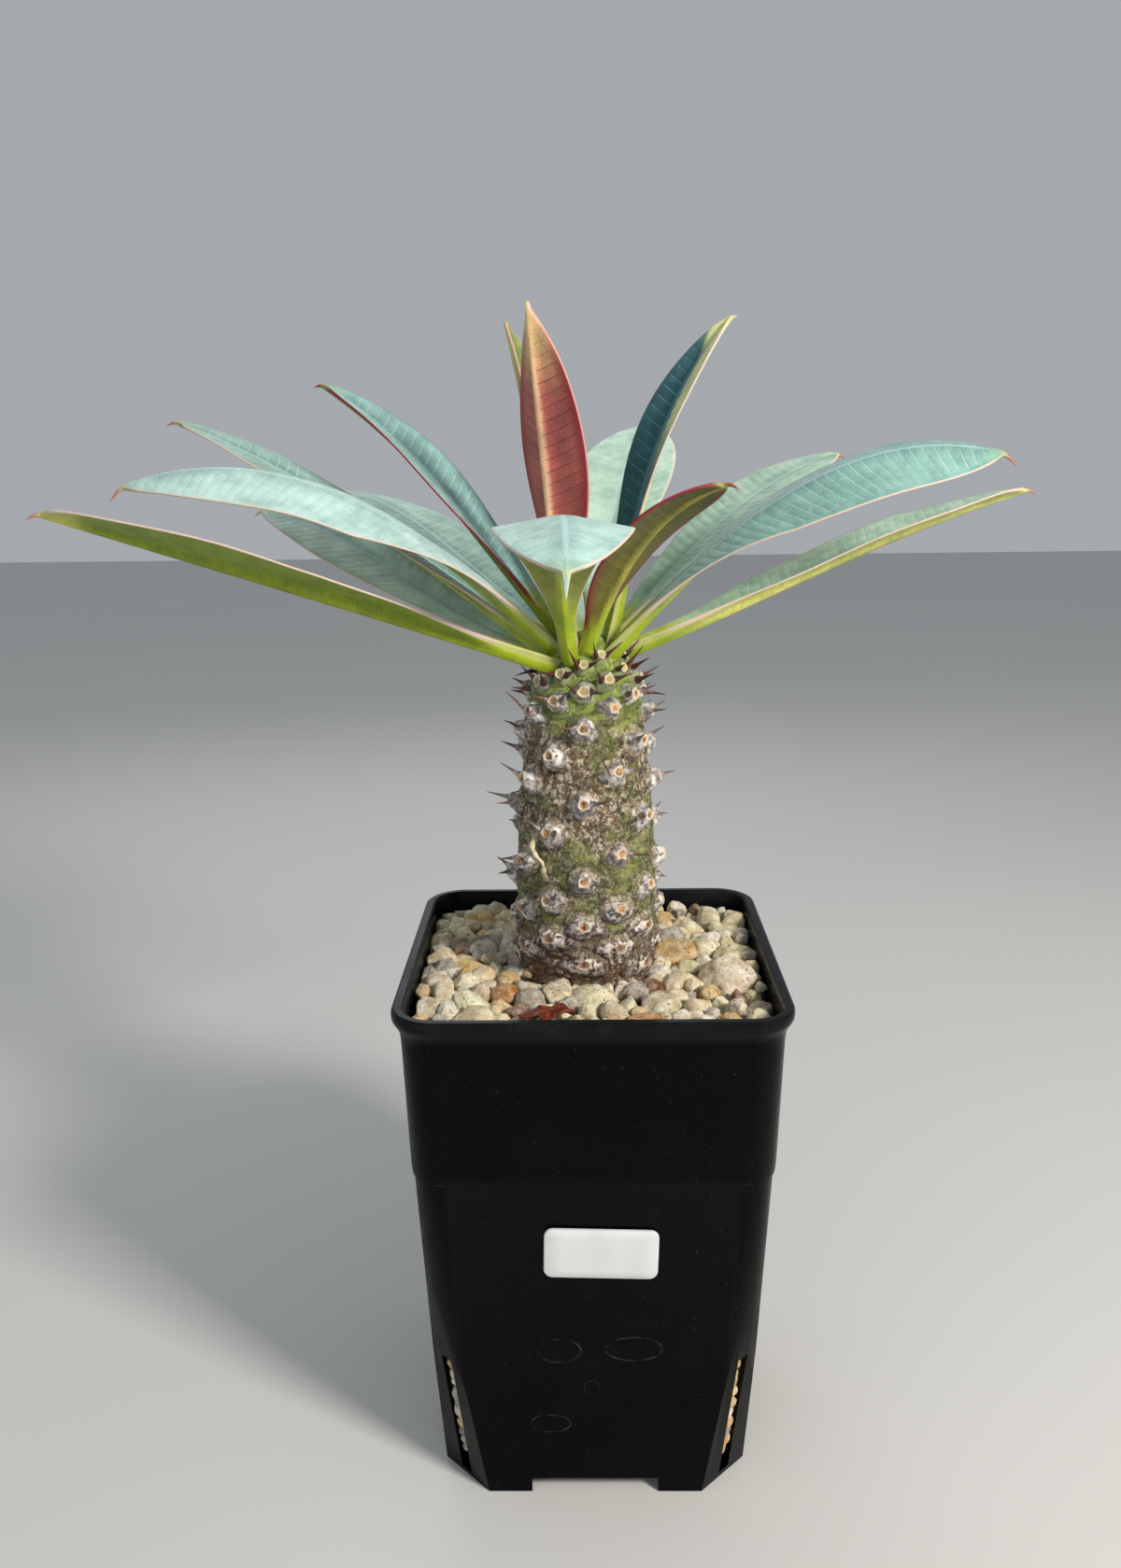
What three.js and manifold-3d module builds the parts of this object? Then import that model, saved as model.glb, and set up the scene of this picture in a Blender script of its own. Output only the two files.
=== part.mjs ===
// A potted Euphorbia pachypodioides: a thick spiny stem with a crown of long leaves, standing in
// coarse gravel in a tall square plastic pot. Millimetres, +Z up, the front of the pot faces -Y.
// Sizes are worked out about the middle of the pot's foot, and the finished group is then moved
// sideways so that its origin is at the bottom centre of the whole object's box.
import * as THREE from 'three';
import { mergeVertices } from 'three/addons/utils/BufferGeometryUtils.js';
import Module from 'manifold-3d';

const wasm = await Module();
wasm.setup();

// The clearance that two pieces keep where they touch.
const GAP = 0.3;
// Detail smaller than this is smoothed away after the pieces of a body are joined.
const FINEST = 0.06;

// Pot: height and half-width of the outside from the foot up to the rolled rim.
const POT_OUTSIDE = [[0, 37.4], [86, 41.5], [88.5, 42], [119.5, 43], [122.5, 43.4], [125.3, 45],
  [127, 45], [127.5, 44.4]];
const POT_HEIGHT = 127.5;
const POT_WALL = 1.2;
const POT_MOUTH = 42.2;
const POT_CORNER_RADIUS = 8.5;
const RIM_START = 119.5;
const FLOOR_UNDERSIDE = 4;
const FLOOR_TOP = 5.5;
const FOOT_WALL = 2.2;
const FOOT_NOTCH_WIDTH = 30.8;
const CORNER_STEPS = 4;
// Flat chamfer on each lower corner: distance from the middle at the foot, and its outward lean.
const CHAMFER_DISTANCE = 44.8;
const CHAMFER_LEAN = 0.148;
const SLIT_WIDTH = 3.6;
const SLIT_LOW = 1.5;
const SLIT_HIGH = 37;
const DRAIN_RADIUS = 4;
const DRAIN_SPACING = 36;

// Gravel: level of the filling under the top stones, and the size and spacing of those stones.
const GRAVEL_LEVEL = 121.4;
const STONE_PITCH = 8.6;
const STONE_NUDGE = [-1, 1];
const STONE_RADIUS = [3.3, 4.6];
const STONE_LIFT = [0.2, 1.6];
const BIG_STONE_LIFT = [-1.3, 0.1];
const STONE_SEED = 11;
// Larger single stones: x, y and radius.
const BIG_STONES = [[34, -10, 6.4], [21.5, 8, 6], [-14.5, -12.5, 4.8], [0.5, -20, 5.2],
  [-27, 14, 4.8], [17, -25, 4.9], [-24, 28, 5], [27, 27, 5.4]];
const SLIT_STONE_SPACING = 4.6;
const SLIT_STONE_RADIUS = 3.1;
const SLIT_STONE_DEPTH = [2.6, 3.4];
const SLIT_STONES_FROM = 6.5;
const SLIT_STONES_REACH = 5;

// Stem: height and radius of its body, from the foot in the gravel to the top of the crown.
const STEM_AXIS = [-1, 1];
const STEM_PROFILE = [[97, 9], [103, 15], [120, 15.8], [131, 16.7], [141, 16.8], [160, 16.2],
  [178.5, 14.5], [188, 13.2], [195.4, 10.4], [199.8, 8.2], [203, 6], [205.2, 3.6]];
const STEM_TOP = 206.4;
const STEM_SIDES = 16;

// The spiral that carries tubercles and leaves: place n counts down from the crown, each one
// turned by SPIRAL_TURN from the last. SPIRAL_HEIGHTS gives the height of a place.
const SPIRAL_START = -92;
const SPIRAL_TURN = 138.46;
const SPIRAL_HEIGHTS = [[-46, 205.2], [-31, 200.6], [-16, 194.4], [-5, 189.4], [0, 185],
  [10, 172], [18, 160.4], [23, 152.3], [31, 144.2], [39, 138.4], [58, 124.5]];
const FIRST_SCAR = -31;
const LAST_SCAR = 52;
const YOUNG_TO = -12;
const WORN_BETWEEN = [24, 48];
const SPINES_TO = 35;

// Tubercle: radius at its foot and at its scar, how far it stands out and how much it points up,
// when it is grown, worn (low on the stem) and young (at the crown).
const TUBERCLE_FOOT = { grown: 3.9, worn: 3.9, young: 2.7 };
const TUBERCLE_SCAR = { grown: 1.7, worn: 2.2, young: 1.9 };
const TUBERCLE_PROUD = { grown: 3, worn: 1.2, young: 1.6 };
const TUBERCLE_RISE = { grown: 8, worn: 8, young: 30 };
const TUBERCLE_SUNK = 2.5;
const TUBERCLE_SIDES = 5;
const WORN_WIDER = 0.25;
const WORN_LOWER = 0.3;

// Spines: a pair on each tubercle but the worn ones, at its two upper sides.
const SPINE_RADIUS = 0.62;
const SPINE_LENGTH = { grown: 5.2, worn: 3.6, young: 6.4 };
const SPINE_SUNK = 1.5;
const SPINE_SPREAD = 40;
const SPINE_RISE = 26;
const SPINE_APART = 1.22;
const SPINE_ABOVE = 0.9;

// Dry thread caught on the left of the stem.
const THREAD_POINTS = [[-12, -10, 160.3], [-13.6, -14.4, 158.7], [-12.8, -16.4, 156.7],
  [-11.2, -16.8, 154.7], [-10.6, -16, 152.3], [-9.6, -12, 149.9]];
const THREAD_RADIUS = 0.5;
const THREAD_STEPS = 10;
const THREAD_SIDES = 4;

// Leaves: where along its length each cross-section is, and the common stalk and blade sizes.
const LEAF_STATIONS = [0, 0.06, 0.12, 0.19, 0.27, 0.36, 0.46, 0.56, 0.66, 0.75, 0.83, 0.9, 0.96, 1];
const STALK_HALF = [1.5, 2.1];
const STALK_DEPTH = [2.6, 3.8];
const YOUNGEST = -45;
const GROWN = -33;
const BLADE_EDGE = 0.75;
const BLADE_OPENS = 5;
const KEEL_END = 1.1;
const BLADE_FROM = 0.06;
const BLADE_RISE = 1.25;
const SHOULDER = 0.42;
const GROOVE = 0.3;
const HOOK_LENGTH = 3.6;
const HOOK_DROP = 2.2;
const ROOT_SUNK = 1.6;
const ROOT_REACH = 16;
const MIDRIB_PULL = 0.37;

// Each leaf: its place in the spiral, the heading of its chord, how long the chord is and how
// steeply it rises, the way it leaves the stem and the way its tip points (heading, rise), its
// half-width, the fold of its two halves and its roll at the stalk, the middle and the tip, and how
// fast its blade narrows to the tip.
const LEAVES = [
  { place: -29, heading: -168, chord: 116.5, rise: 18.1, leave: [-155, 19], arrive: [-170, 18],
    half: 12, fold: [6, 11, 10], roll: [8, 13, 10], taper: 0.62 },
  { place: -37, heading: -174, chord: 105, rise: 22, leave: [-175, 44], arrive: [-172, -20],
    half: 12.5, fold: [12, -18, -20], roll: [8, -16, -18], taper: 0.72 },
  { place: -32, heading: 168, chord: 109.5, rise: 30.2, leave: [165, 34], arrive: [168, 22],
    half: 10.5, fold: [6, 3, 2], roll: [-2, -2, -3], taper: 0.72 },
  { place: -27, heading: 152, chord: 98, rise: 20.4, leave: [150, 9], arrive: [152, 9],
    half: 12, fold: [8, 4, 2], roll: [-8, -15, -16], taper: 0.72 },
  { place: -35, heading: 134, chord: 104, rise: 20, leave: [130, 13], arrive: [134, 4],
    half: 13, fold: [8, 0, -6], roll: [4, 2, 0], taper: 0.72 },
  { place: -40, heading: 164, chord: 86.5, rise: 44.6, leave: [160, 45.5], arrive: [164, 32],
    half: 9.4, fold: [14, 13, 12], roll: [-3, -6, -3], taper: 0.72 },
  { place: -30, heading: 106, chord: 108, rise: 8, leave: [106, 20], arrive: [106, -10],
    half: 13, fold: [8, 4, 0], roll: [0, 0, 0], taper: 0.72 },
  { place: -34, heading: -90, chord: 97, rise: 17, leave: [-104, 60], arrive: [-90, -28],
    half: 13, fold: [10, -10, -14], roll: [0, 0, 0], taper: 0.72 },
  { place: -42, heading: -122, chord: 75, rise: 79.5, leave: [-136, 82], arrive: [-124, 82],
    half: 9.6, fold: [20, 18, 16], roll: [-12, -12, -12], taper: 0.95 },
  { place: -45, heading: 132, chord: 75, rise: 73.6, leave: [127, 73], arrive: [133, 71],
    half: 4.2, fold: [40, 50, 55], roll: [0, 0, 0], taper: 1 },
  { place: -41, heading: 18, chord: 79.5, rise: 68, leave: [8, 77], arrive: [24, 47],
    half: 7, fold: [20, 18, 12], roll: [0, 10, 12], taper: 0.8 },
  { place: -43, heading: 74, chord: 76, rise: 41.5, leave: [74, 58], arrive: [74, 20],
    half: 12.8, fold: [8, 4, 0], roll: [0, 0, 0], taper: 0.72 },
  { place: -39, heading: -40, chord: 54.5, rise: 45, leave: [-52, 59], arrive: [-37, 16],
    half: 11.4, fold: [12, 0, -4], roll: [0, 4, -4], taper: 0.72 },
  { place: -38, heading: 34, chord: 87.5, rise: 30.2, leave: [38, 35], arrive: [32, 13],
    half: 11.4, fold: [8, 4, 0], roll: [0, 0, 6], taper: 0.72 },
  { place: -36, heading: -4, chord: 98.5, rise: 27, leave: [-10, 47], arrive: [-2, -14],
    half: 13, fold: [10, -17, -24], roll: [0, 18, 28], taper: 0.72 },
  { place: -33, heading: 14, chord: 113, rise: 18.5, leave: [14, 16.5], arrive: [14, 14],
    half: 11.5, fold: [12, 13, 10], roll: [-1, -2, -5], taper: 0.72 },
];

// Label on the front of the pot: middle, size, and its small turn.
const LABEL_MIDDLE = [1.6, 68.8];
const LABEL_SIZE = [26.3, 12.8];
const LABEL_CORNER = 2;
const LABEL_THICKNESS = 0.8;
const LABEL_TURN = -1.5;

// Dry scrap of leaf on the gravel at the front.
const SCRAP_MIDDLE = [-10.2, -34.5, 124.6];
const SCRAP_LENGTH = 11.6;
const SCRAP_HALF = 3.4;
const SCRAP_THICKNESS = 0.8;
const SCRAP_CURL = 1.6;
const SCRAP_BOW = 0.8;

const radians = THREE.MathUtils.degToRad;
const lerp = THREE.MathUtils.lerp;
const random = () => THREE.MathUtils.seededRandom();
const between = ([low, high]) => lerp(low, high, random());

// The value of a table of [position, value] pairs at a position, on straight lines between pairs.
function valueAt(table, position) {
  let upper = table.findIndex((pair) => pair[0] > position);
  if (upper < 0) upper = table.length - 1;
  upper = Math.max(upper, 1);
  const [low, high] = [table[upper - 1], table[upper]];
  return lerp(low[1], high[1], (position - low[0]) / (high[0] - low[0]));
}

// A unit vector from its heading about Z and its rise above the horizontal, in degrees.
function direction(heading, rise) {
  const flat = Math.cos(radians(rise));
  return new THREE.Vector3(flat * Math.cos(radians(heading)), flat * Math.sin(radians(heading)),
    Math.sin(radians(rise)));
}

function solidOf(geometry) {
  const bare = geometry.clone();
  bare.deleteAttribute('normal');
  bare.deleteAttribute('uv');
  const merged = mergeVertices(bare, 1e-4);
  return new wasm.Manifold(new wasm.Mesh({
    numProp: 3,
    vertProperties: merged.attributes.position.array,
    triVerts: new Uint32Array(merged.index.array),
  }));
}

function geometryOf(solid) {
  const { vertProperties, triVerts } = solid.getMesh();
  const geometry = new THREE.BufferGeometry();
  geometry.setAttribute('position', new THREE.BufferAttribute(vertProperties, 3));
  geometry.setIndex(new THREE.BufferAttribute(triVerts, 1));
  geometry.computeVertexNormals();
  return geometry;
}

function joined(solids) {
  return solids.reduce((whole, piece) => whole.add(piece));
}

// The main body of a solid, without loose crumbs left by the cuts.
function largest(solid) {
  return solid.decompose().reduce((most, body) => (body.volume() > most.volume() ? body : most));
}

// A closed surface through rings of points that turn counterclockwise about the way they advance.
// A point closes each end. Columns from otherSplit on are split along their other diagonal.
function loft(rings, first, last, otherSplit = Infinity) {
  const count = rings[0].length;
  const points = [...rings.flat(), first, last];
  const start = points.length - 2;
  const end = points.length - 1;
  const top = (rings.length - 1) * count;
  const index = [];
  for (let column = 0; column < count; column += 1) {
    const next = (column + 1) % count;
    for (let row = 0; row < top; row += count) {
      const [a, b] = [row + column, row + next];
      const [c, d] = [a + count, b + count];
      if (column < otherSplit) index.push(a, b, d, a, d, c);
      else index.push(a, b, c, b, d, c);
    }
    index.push(start, next, column, end, top + column, top + next);
  }
  const geometry = new THREE.BufferGeometry().setFromPoints(points);
  geometry.setIndex(index);
  return solidOf(geometry);
}

function roundedSquareRing(half, radius, height) {
  const ring = [];
  for (let step = 0; step < 4 * (CORNER_STEPS + 1); step += 1) {
    const corner = Math.floor(step / (CORNER_STEPS + 1));
    const angle = (corner + (step % (CORNER_STEPS + 1)) / CORNER_STEPS) * Math.PI / 2;
    const side = (corner + 0.5) * Math.PI / 2;
    const middle = (half - radius) * Math.SQRT2;
    ring.push(new THREE.Vector3(middle * Math.cos(side) + radius * Math.cos(angle),
      middle * Math.sin(side) + radius * Math.sin(angle), height));
  }
  return ring;
}

// A solid with rounded square cross-sections through [height, half-width, corner radius] rows.
function squareSolid(rows) {
  const rings = rows.map(([height, half, radius]) => roundedSquareRing(half, radius, height));
  return loft(rings, new THREE.Vector3(0, 0, rows[0][0]), new THREE.Vector3(0, 0, rows.at(-1)[0]));
}

// The same box at each of the four corners, leaning out with the chamfer. It reaches from inner to
// outer, both measured from the chamfer's face, and from low to high.
function atCorners(width, inner, outer, low, high, shift = 0) {
  return [0, 1, 2, 3].map((corner) => {
    const box = new THREE.BoxGeometry(outer - inner, width, high - low);
    box.translate((inner + outer) / 2, 0, (low + high) / 2);
    box.rotateY(Math.atan(CHAMFER_LEAN));
    box.translate(CHAMFER_DISTANCE - shift, 0, 0);
    box.rotateZ((corner + 0.5) * Math.PI / 2);
    return solidOf(box);
  });
}

// Takes the chamfer off each lower corner, moved in by a distance.
function chamfered(solid, inset) {
  return atCorners(60, 0, 20, -20, 100, inset).reduce((rest, wedge) => rest.subtract(wedge), solid);
}

// The space inside the pot, drawn in by a clearance, from its floor up to a level.
function potInside(clearance, level) {
  const inset = POT_WALL + clearance;
  const rows = [FLOOR_TOP + clearance, 86, 88.5, RIM_START]
    .filter((height) => height < level)
    .map((height) => [height, valueAt(POT_OUTSIDE, height) - inset, POT_CORNER_RADIUS - inset]);
  const mouth = [[RIM_START, valueAt(POT_OUTSIDE, RIM_START) - POT_WALL], [POT_HEIGHT, POT_MOUTH]];
  rows.push([level, valueAt(mouth, level) - clearance, POT_CORNER_RADIUS - inset]);
  return chamfered(squareSolid(rows), inset);
}

function makePot() {
  const outsideRows = POT_OUTSIDE.map(([height, half]) => [height, half, POT_CORNER_RADIUS
    + Math.max(half - 43, 0)]);
  let pot = chamfered(squareSolid(outsideRows), 0);
  pot = pot.subtract(potInside(0, POT_HEIGHT + 1));
  const footInside = valueAt(POT_OUTSIDE, 0) - FOOT_WALL;
  pot = pot.subtract(chamfered(squareSolid([[-1, footInside, POT_CORNER_RADIUS - FOOT_WALL],
    [FLOOR_UNDERSIDE, footInside, POT_CORNER_RADIUS - FOOT_WALL]]), FOOT_WALL));
  for (const turn of [0, Math.PI / 2]) {
    const notch = new THREE.BoxGeometry(FOOT_NOTCH_WIDTH, 100, FLOOR_UNDERSIDE + 2);
    notch.translate(0, 0, FLOOR_UNDERSIDE / 2 - 1);
    notch.rotateZ(turn);
    pot = pot.subtract(solidOf(notch));
  }
  for (const slit of atCorners(SLIT_WIDTH, -3, 6, SLIT_LOW, SLIT_HIGH)) pot = pot.subtract(slit);
  const offset = DRAIN_SPACING / 2;
  for (const [x, y] of [[0, 0], [offset, offset], [-offset, offset], [-offset, -offset],
    [offset, -offset]]) {
    const hole = new THREE.CylinderGeometry(DRAIN_RADIUS, DRAIN_RADIUS, 6, 12);
    hole.rotateX(Math.PI / 2);
    hole.translate(x, y, FLOOR_TOP);
    pot = pot.subtract(solidOf(hole));
  }
  return pot;
}

function makeStone(x, y, z, radius) {
  const stone = new THREE.IcosahedronGeometry(radius, 0);
  stone.scale(1, lerp(0.75, 1, random()), lerp(0.7, 0.95, random()));
  stone.rotateX((random() - 0.5) * 0.8);
  stone.rotateZ(random() * Math.PI * 2);
  stone.translate(x, y, z);
  return solidOf(stone);
}

// Where the top stones lie: the larger ones, and staggered rows of the others, each one nudged off
// its place, clear of the wall, of the stem and of the larger ones.
function stonePlaces() {
  const wall = valueAt(POT_OUTSIDE, RIM_START) - POT_WALL - GAP;
  const stem = valueAt(STEM_PROFILE, GRAVEL_LEVEL);
  const rowPitch = STONE_PITCH * Math.sin(Math.PI / 3);
  const away = (x, y, other) => Math.hypot(x - other[0], y - other[1]);
  const places = [...BIG_STONES];
  for (let row = 0; row * rowPitch < 2 * wall; row += 1) {
    for (let column = -6; column <= 6; column += 1) {
      const radius = between(STONE_RADIUS);
      const offset = [(column + (row % 2) / 2) * STONE_PITCH, (row + 0.5) * rowPitch - wall];
      const [x, y] = insideCorners(offset.map((value) => value + between(STONE_NUDGE)), wall, radius);
      if (Math.abs(offset[0]) > wall) continue;
      if (away(x, y, STEM_AXIS) < stem + radius / 2) continue;
      if (BIG_STONES.some((big) => away(x, y, big) < big[2] + radius / 5)) continue;
      places.push([x, y, radius]);
    }
  }
  return places;
}

// A stone's place, moved in where it would meet a wall or a rounded corner of the pot.
function insideCorners(place, wall, radius) {
  const cornerRadius = POT_CORNER_RADIUS - POT_WALL - GAP;
  const beyond = place.map((value) => THREE.MathUtils.clamp(Math.abs(value) - wall + cornerRadius, 0,
    cornerRadius - radius));
  const fit = Math.min(1, (cornerRadius - radius) / Math.max(Math.hypot(...beyond), 0.01));
  return place.map((value, axis) => (beyond[axis] > 0
    ? Math.sign(value) * (wall - cornerRadius + fit * beyond[axis]) : value));
}

function makeGravel(scrapRoom) {
  THREE.MathUtils.seededRandom(STONE_SEED);
  const stones = stonePlaces().map(([x, y, radius]) => makeStone(x, y,
    GRAVEL_LEVEL + between(radius > STONE_RADIUS[1] ? BIG_STONE_LIFT : STONE_LIFT), radius));
  let gravel = potInside(GAP, GRAVEL_LEVEL).add(joined(stones));
  const slits = atCorners(SLIT_WIDTH - 2 * GAP, -SLIT_STONES_REACH, POT_WALL / 2, SLIT_STONES_FROM,
    SLIT_HIGH - GAP);
  slits.forEach((slit, corner) => {
    const angle = (corner + 0.5) * Math.PI / 2;
    const seen = [];
    for (let height = FLOOR_TOP + 2; height < SLIT_HIGH; height += SLIT_STONE_SPACING) {
      const distance = CHAMFER_DISTANCE + CHAMFER_LEAN * height - between(SLIT_STONE_DEPTH);
      seen.push(makeStone(distance * Math.cos(angle), distance * Math.sin(angle), height,
        SLIT_STONE_RADIUS));
    }
    gravel = gravel.add(joined(seen).intersect(slit));
  });
  return gravel.subtract(stemBody(GAP)).subtract(scrapRoom).simplify(FINEST);
}

// The stem's round body, grown by a clearance.
function stemBody(clearance) {
  const rings = STEM_PROFILE.map(([height, radius], row) => {
    const ring = [];
    for (let side = 0; side < STEM_SIDES; side += 1) {
      const angle = (side + (row % 2) / 2) / STEM_SIDES * Math.PI * 2;
      const reach = radius * (1 + 0.015 * Math.cos(2 * angle + 1)) + clearance;
      ring.push(new THREE.Vector3(STEM_AXIS[0] + reach * Math.cos(angle),
        STEM_AXIS[1] + reach * Math.sin(angle), height));
    }
    return ring;
  });
  const foot = new THREE.Vector3(...STEM_AXIS, STEM_PROFILE[0][0] - clearance);
  return loft(rings, foot, new THREE.Vector3(...STEM_AXIS, STEM_TOP + clearance));
}

// The point on the stem's surface at a place of the spiral, and its angle about the stem.
function spiralPlace(place) {
  const angle = SPIRAL_START + SPIRAL_TURN * place;
  const height = valueAt(SPIRAL_HEIGHTS, place);
  const radius = valueAt(STEM_PROFILE, height);
  return { angle, height, radius };
}

function stemPoint(angle, radius, height) {
  return direction(angle, 0).multiplyScalar(radius)
    .add(new THREE.Vector3(...STEM_AXIS, height));
}

// Turns a shape made along +Y so that it points along a direction, with its own X level.
function aimed(geometry, forward) {
  const side = new THREE.Vector3(-forward.y, forward.x, 0).normalize();
  const up = new THREE.Vector3().crossVectors(side, forward);
  geometry.applyMatrix4(new THREE.Matrix4().makeBasis(side, forward, up));
  return geometry;
}

// A size of the tubercle at a place: low on the stem it goes over to the worn one, at the crown to
// the young one.
function tubercleSize(sizes, place) {
  const worn = THREE.MathUtils.smoothstep(place, ...WORN_BETWEEN);
  const young = 1 - THREE.MathUtils.smoothstep(place, FIRST_SCAR, YOUNG_TO);
  return lerp(lerp(sizes.grown, sizes.worn, worn), sizes.young, young);
}

// One tubercle with the scar of its leaf and, higher on the stem, its pair of spines.
function makeTubercle(place) {
  const { angle, height, radius } = spiralPlace(place);
  const proud = tubercleSize(TUBERCLE_PROUD, place);
  const worn = THREE.MathUtils.smoothstep(place, ...WORN_BETWEEN);
  const cone = new THREE.CylinderGeometry(tubercleSize(TUBERCLE_SCAR, place),
    tubercleSize(TUBERCLE_FOOT, place), proud + TUBERCLE_SUNK, TUBERCLE_SIDES);
  cone.scale(1 + WORN_WIDER * worn, 1, 1 - WORN_LOWER * worn);
  cone.translate(0, (proud - TUBERCLE_SUNK) / 2, 0);
  aimed(cone, direction(angle, tubercleSize(TUBERCLE_RISE, place)));
  cone.translate(...stemPoint(angle, radius, height));
  const pieces = [solidOf(cone)];
  if (place > SPINES_TO) return pieces;
  const length = tubercleSize(SPINE_LENGTH, place);
  for (const turn of [-1, 1]) {
    const spine = new THREE.ConeGeometry(SPINE_RADIUS, length + SPINE_SUNK, 3);
    spine.translate(0, (length - SPINE_SUNK) / 2, 0);
    aimed(spine, direction(angle + turn * SPINE_SPREAD, SPINE_RISE));
    const aside = turn * THREE.MathUtils.radToDeg(SPINE_APART / radius);
    spine.translate(...stemPoint(angle + aside, radius + proud / 2, height + SPINE_ABOVE));
    pieces.push(solidOf(spine));
  }
  return pieces;
}

function makeThread() {
  const points = THREAD_POINTS.map((point) => new THREE.Vector3(...point));
  const route = new THREE.CatmullRomCurve3(points);
  const section = new THREE.Shape();
  section.absarc(0, 0, THREAD_RADIUS, 0, Math.PI * 2);
  const settings = { steps: THREAD_STEPS, curveSegments: THREAD_SIDES, extrudePath: route };
  return solidOf(new THREE.ExtrudeGeometry(section, settings));
}

function makeStem(leafRoots) {
  const taken = LEAVES.map((leaf) => leaf.place);
  const pieces = [stemBody(0), makeThread()];
  for (let place = FIRST_SCAR; place <= LAST_SCAR; place += 1) {
    if (!taken.includes(place)) pieces.push(...makeTubercle(place));
  }
  const cut = leafRoots.reduce((stem, root) => stem.subtract(root), joined(pieces));
  return largest(cut.simplify(FINEST));
}

// The midrib of a leaf, from its root in the stem to the start of its hooked tip.
function midrib(leaf) {
  const { angle, height, radius } = spiralPlace(leaf.place);
  const leaving = direction(...leaf.leave);
  const root = stemPoint(angle, radius, height).addScaledVector(leaving, -ROOT_SUNK);
  const tip = root.clone().addScaledVector(direction(leaf.heading, leaf.rise), leaf.chord);
  const pull = leaf.chord * MIDRIB_PULL;
  return new THREE.CubicBezierCurve3(root, root.clone().addScaledVector(leaving, pull),
    tip.clone().addScaledVector(direction(...leaf.arrive), -pull), tip);
}

// Half the blade's width at a fraction of the leaf's length: a narrow stalk, widest past the
// middle, and a pointed tip.
function halfWidth(leaf, along) {
  const outline = (share) => share ** BLADE_RISE * (1 - share) ** leaf.taper;
  const blade = Math.max((along - BLADE_FROM) / (1 - BLADE_FROM), 0);
  const shape = outline(blade) / outline(BLADE_RISE / (BLADE_RISE + leaf.taper));
  return Math.hypot(byAge(leaf, STALK_HALF) * (1 - 0.75 * along), leaf.half * shape);
}

// A size between its value in the youngest leaf and in the full-grown ones.
function byAge(leaf, [young, old]) {
  return lerp(young, old, THREE.MathUtils.clamp((leaf.place - YOUNGEST) / (GROWN - YOUNGEST), 0, 1));
}

// A value given at the stalk, the middle and the tip of a leaf.
function alongLeaf([stalk, middle, tip], along) {
  return valueAt([[0, stalk], [0.5, middle], [1, tip]], along);
}

// A leaf's cross-section, left edge to right edge on top and back underneath with the keel.
function leafSection(leaf, curve, along, grow) {
  const forward = curve.getTangentAt(along);
  const heading = radians(leaf.heading);
  const side = new THREE.Vector3(Math.sin(heading), -Math.cos(heading), 0);
  side.addScaledVector(forward, -side.dot(forward)).normalize();
  side.applyAxisAngle(forward, radians(alongLeaf(leaf.roll, along)));
  const up = new THREE.Vector3().crossVectors(side, forward);
  const middle = curve.getPointAt(along);
  const half = halfWidth(leaf, along);
  const open = THREE.MathUtils.clamp((half - byAge(leaf, STALK_HALF)) / BLADE_OPENS, 0, 1);
  const fold = Math.tan(radians(alongLeaf(leaf.fold, along)));
  const keel = lerp(byAge(leaf, STALK_DEPTH), KEEL_END, along ** 0.6);
  const bowed = SHOULDER * (1 + 0.25 * (1 - SHOULDER));
  const columns = [[-1, 1, 1], [-SHOULDER, bowed, 0.85 * keel], [0, 0, keel],
    [SHOULDER, bowed, 0.85 * keel], [1, 1, 1]].map(([share, rise, thickness]) => ({
    share,
    rise: half * fold * rise + (share ? GROOVE : 0),
    thickness: share ? lerp(thickness, BLADE_EDGE, open) : thickness,
  }));
  const point = (column, depth) => middle.clone()
    .addScaledVector(side, column.share * (half + grow))
    .addScaledVector(up, column.rise - depth);
  const top = columns.map((column) => point(column, -grow));
  const under = columns.map((column) => point(column, column.thickness + grow)).reverse();
  return [...top, ...under];
}

const LOWERED = new THREE.Vector3(0, 0, -1);

function makeLeaf(leaf) {
  const curve = midrib(leaf);
  const rings = LEAF_STATIONS.map((along) => leafSection(leaf, curve, along, 0));
  const forward = curve.getTangentAt(1);
  const tip = curve.getPointAt(1).addScaledVector(forward, HOOK_LENGTH);
  tip.z -= HOOK_DROP;
  return loft(rings, curve.getPointAt(0).add(LOWERED), tip, 5);
}

// The room that a leaf's root takes in the stem and among the other stalks.
function leafRoot(leaf) {
  const curve = midrib(leaf);
  const share = ROOT_REACH / curve.getLength();
  const rings = [0, 0.25, 0.5, 0.75, 1].map((part) => leafSection(leaf, curve, part * share, GAP));
  const back = curve.getTangentAt(0).multiplyScalar(-GAP);
  rings.unshift(rings[0].map((point) => point.clone().add(back)));
  return loft(rings, curve.getPointAt(0).add(back).add(LOWERED),
    curve.getPointAt(share).add(LOWERED), 5);
}

// A leaf that gives way, where the crowded stalks press together, to the younger leaves inside it.
function fitted(leaf, leafRooms) {
  return LEAVES.reduce((body, other, number) => (
    other.place < leaf.place ? body.subtract(leafRooms[number]) : body), makeLeaf(leaf));
}

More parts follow.
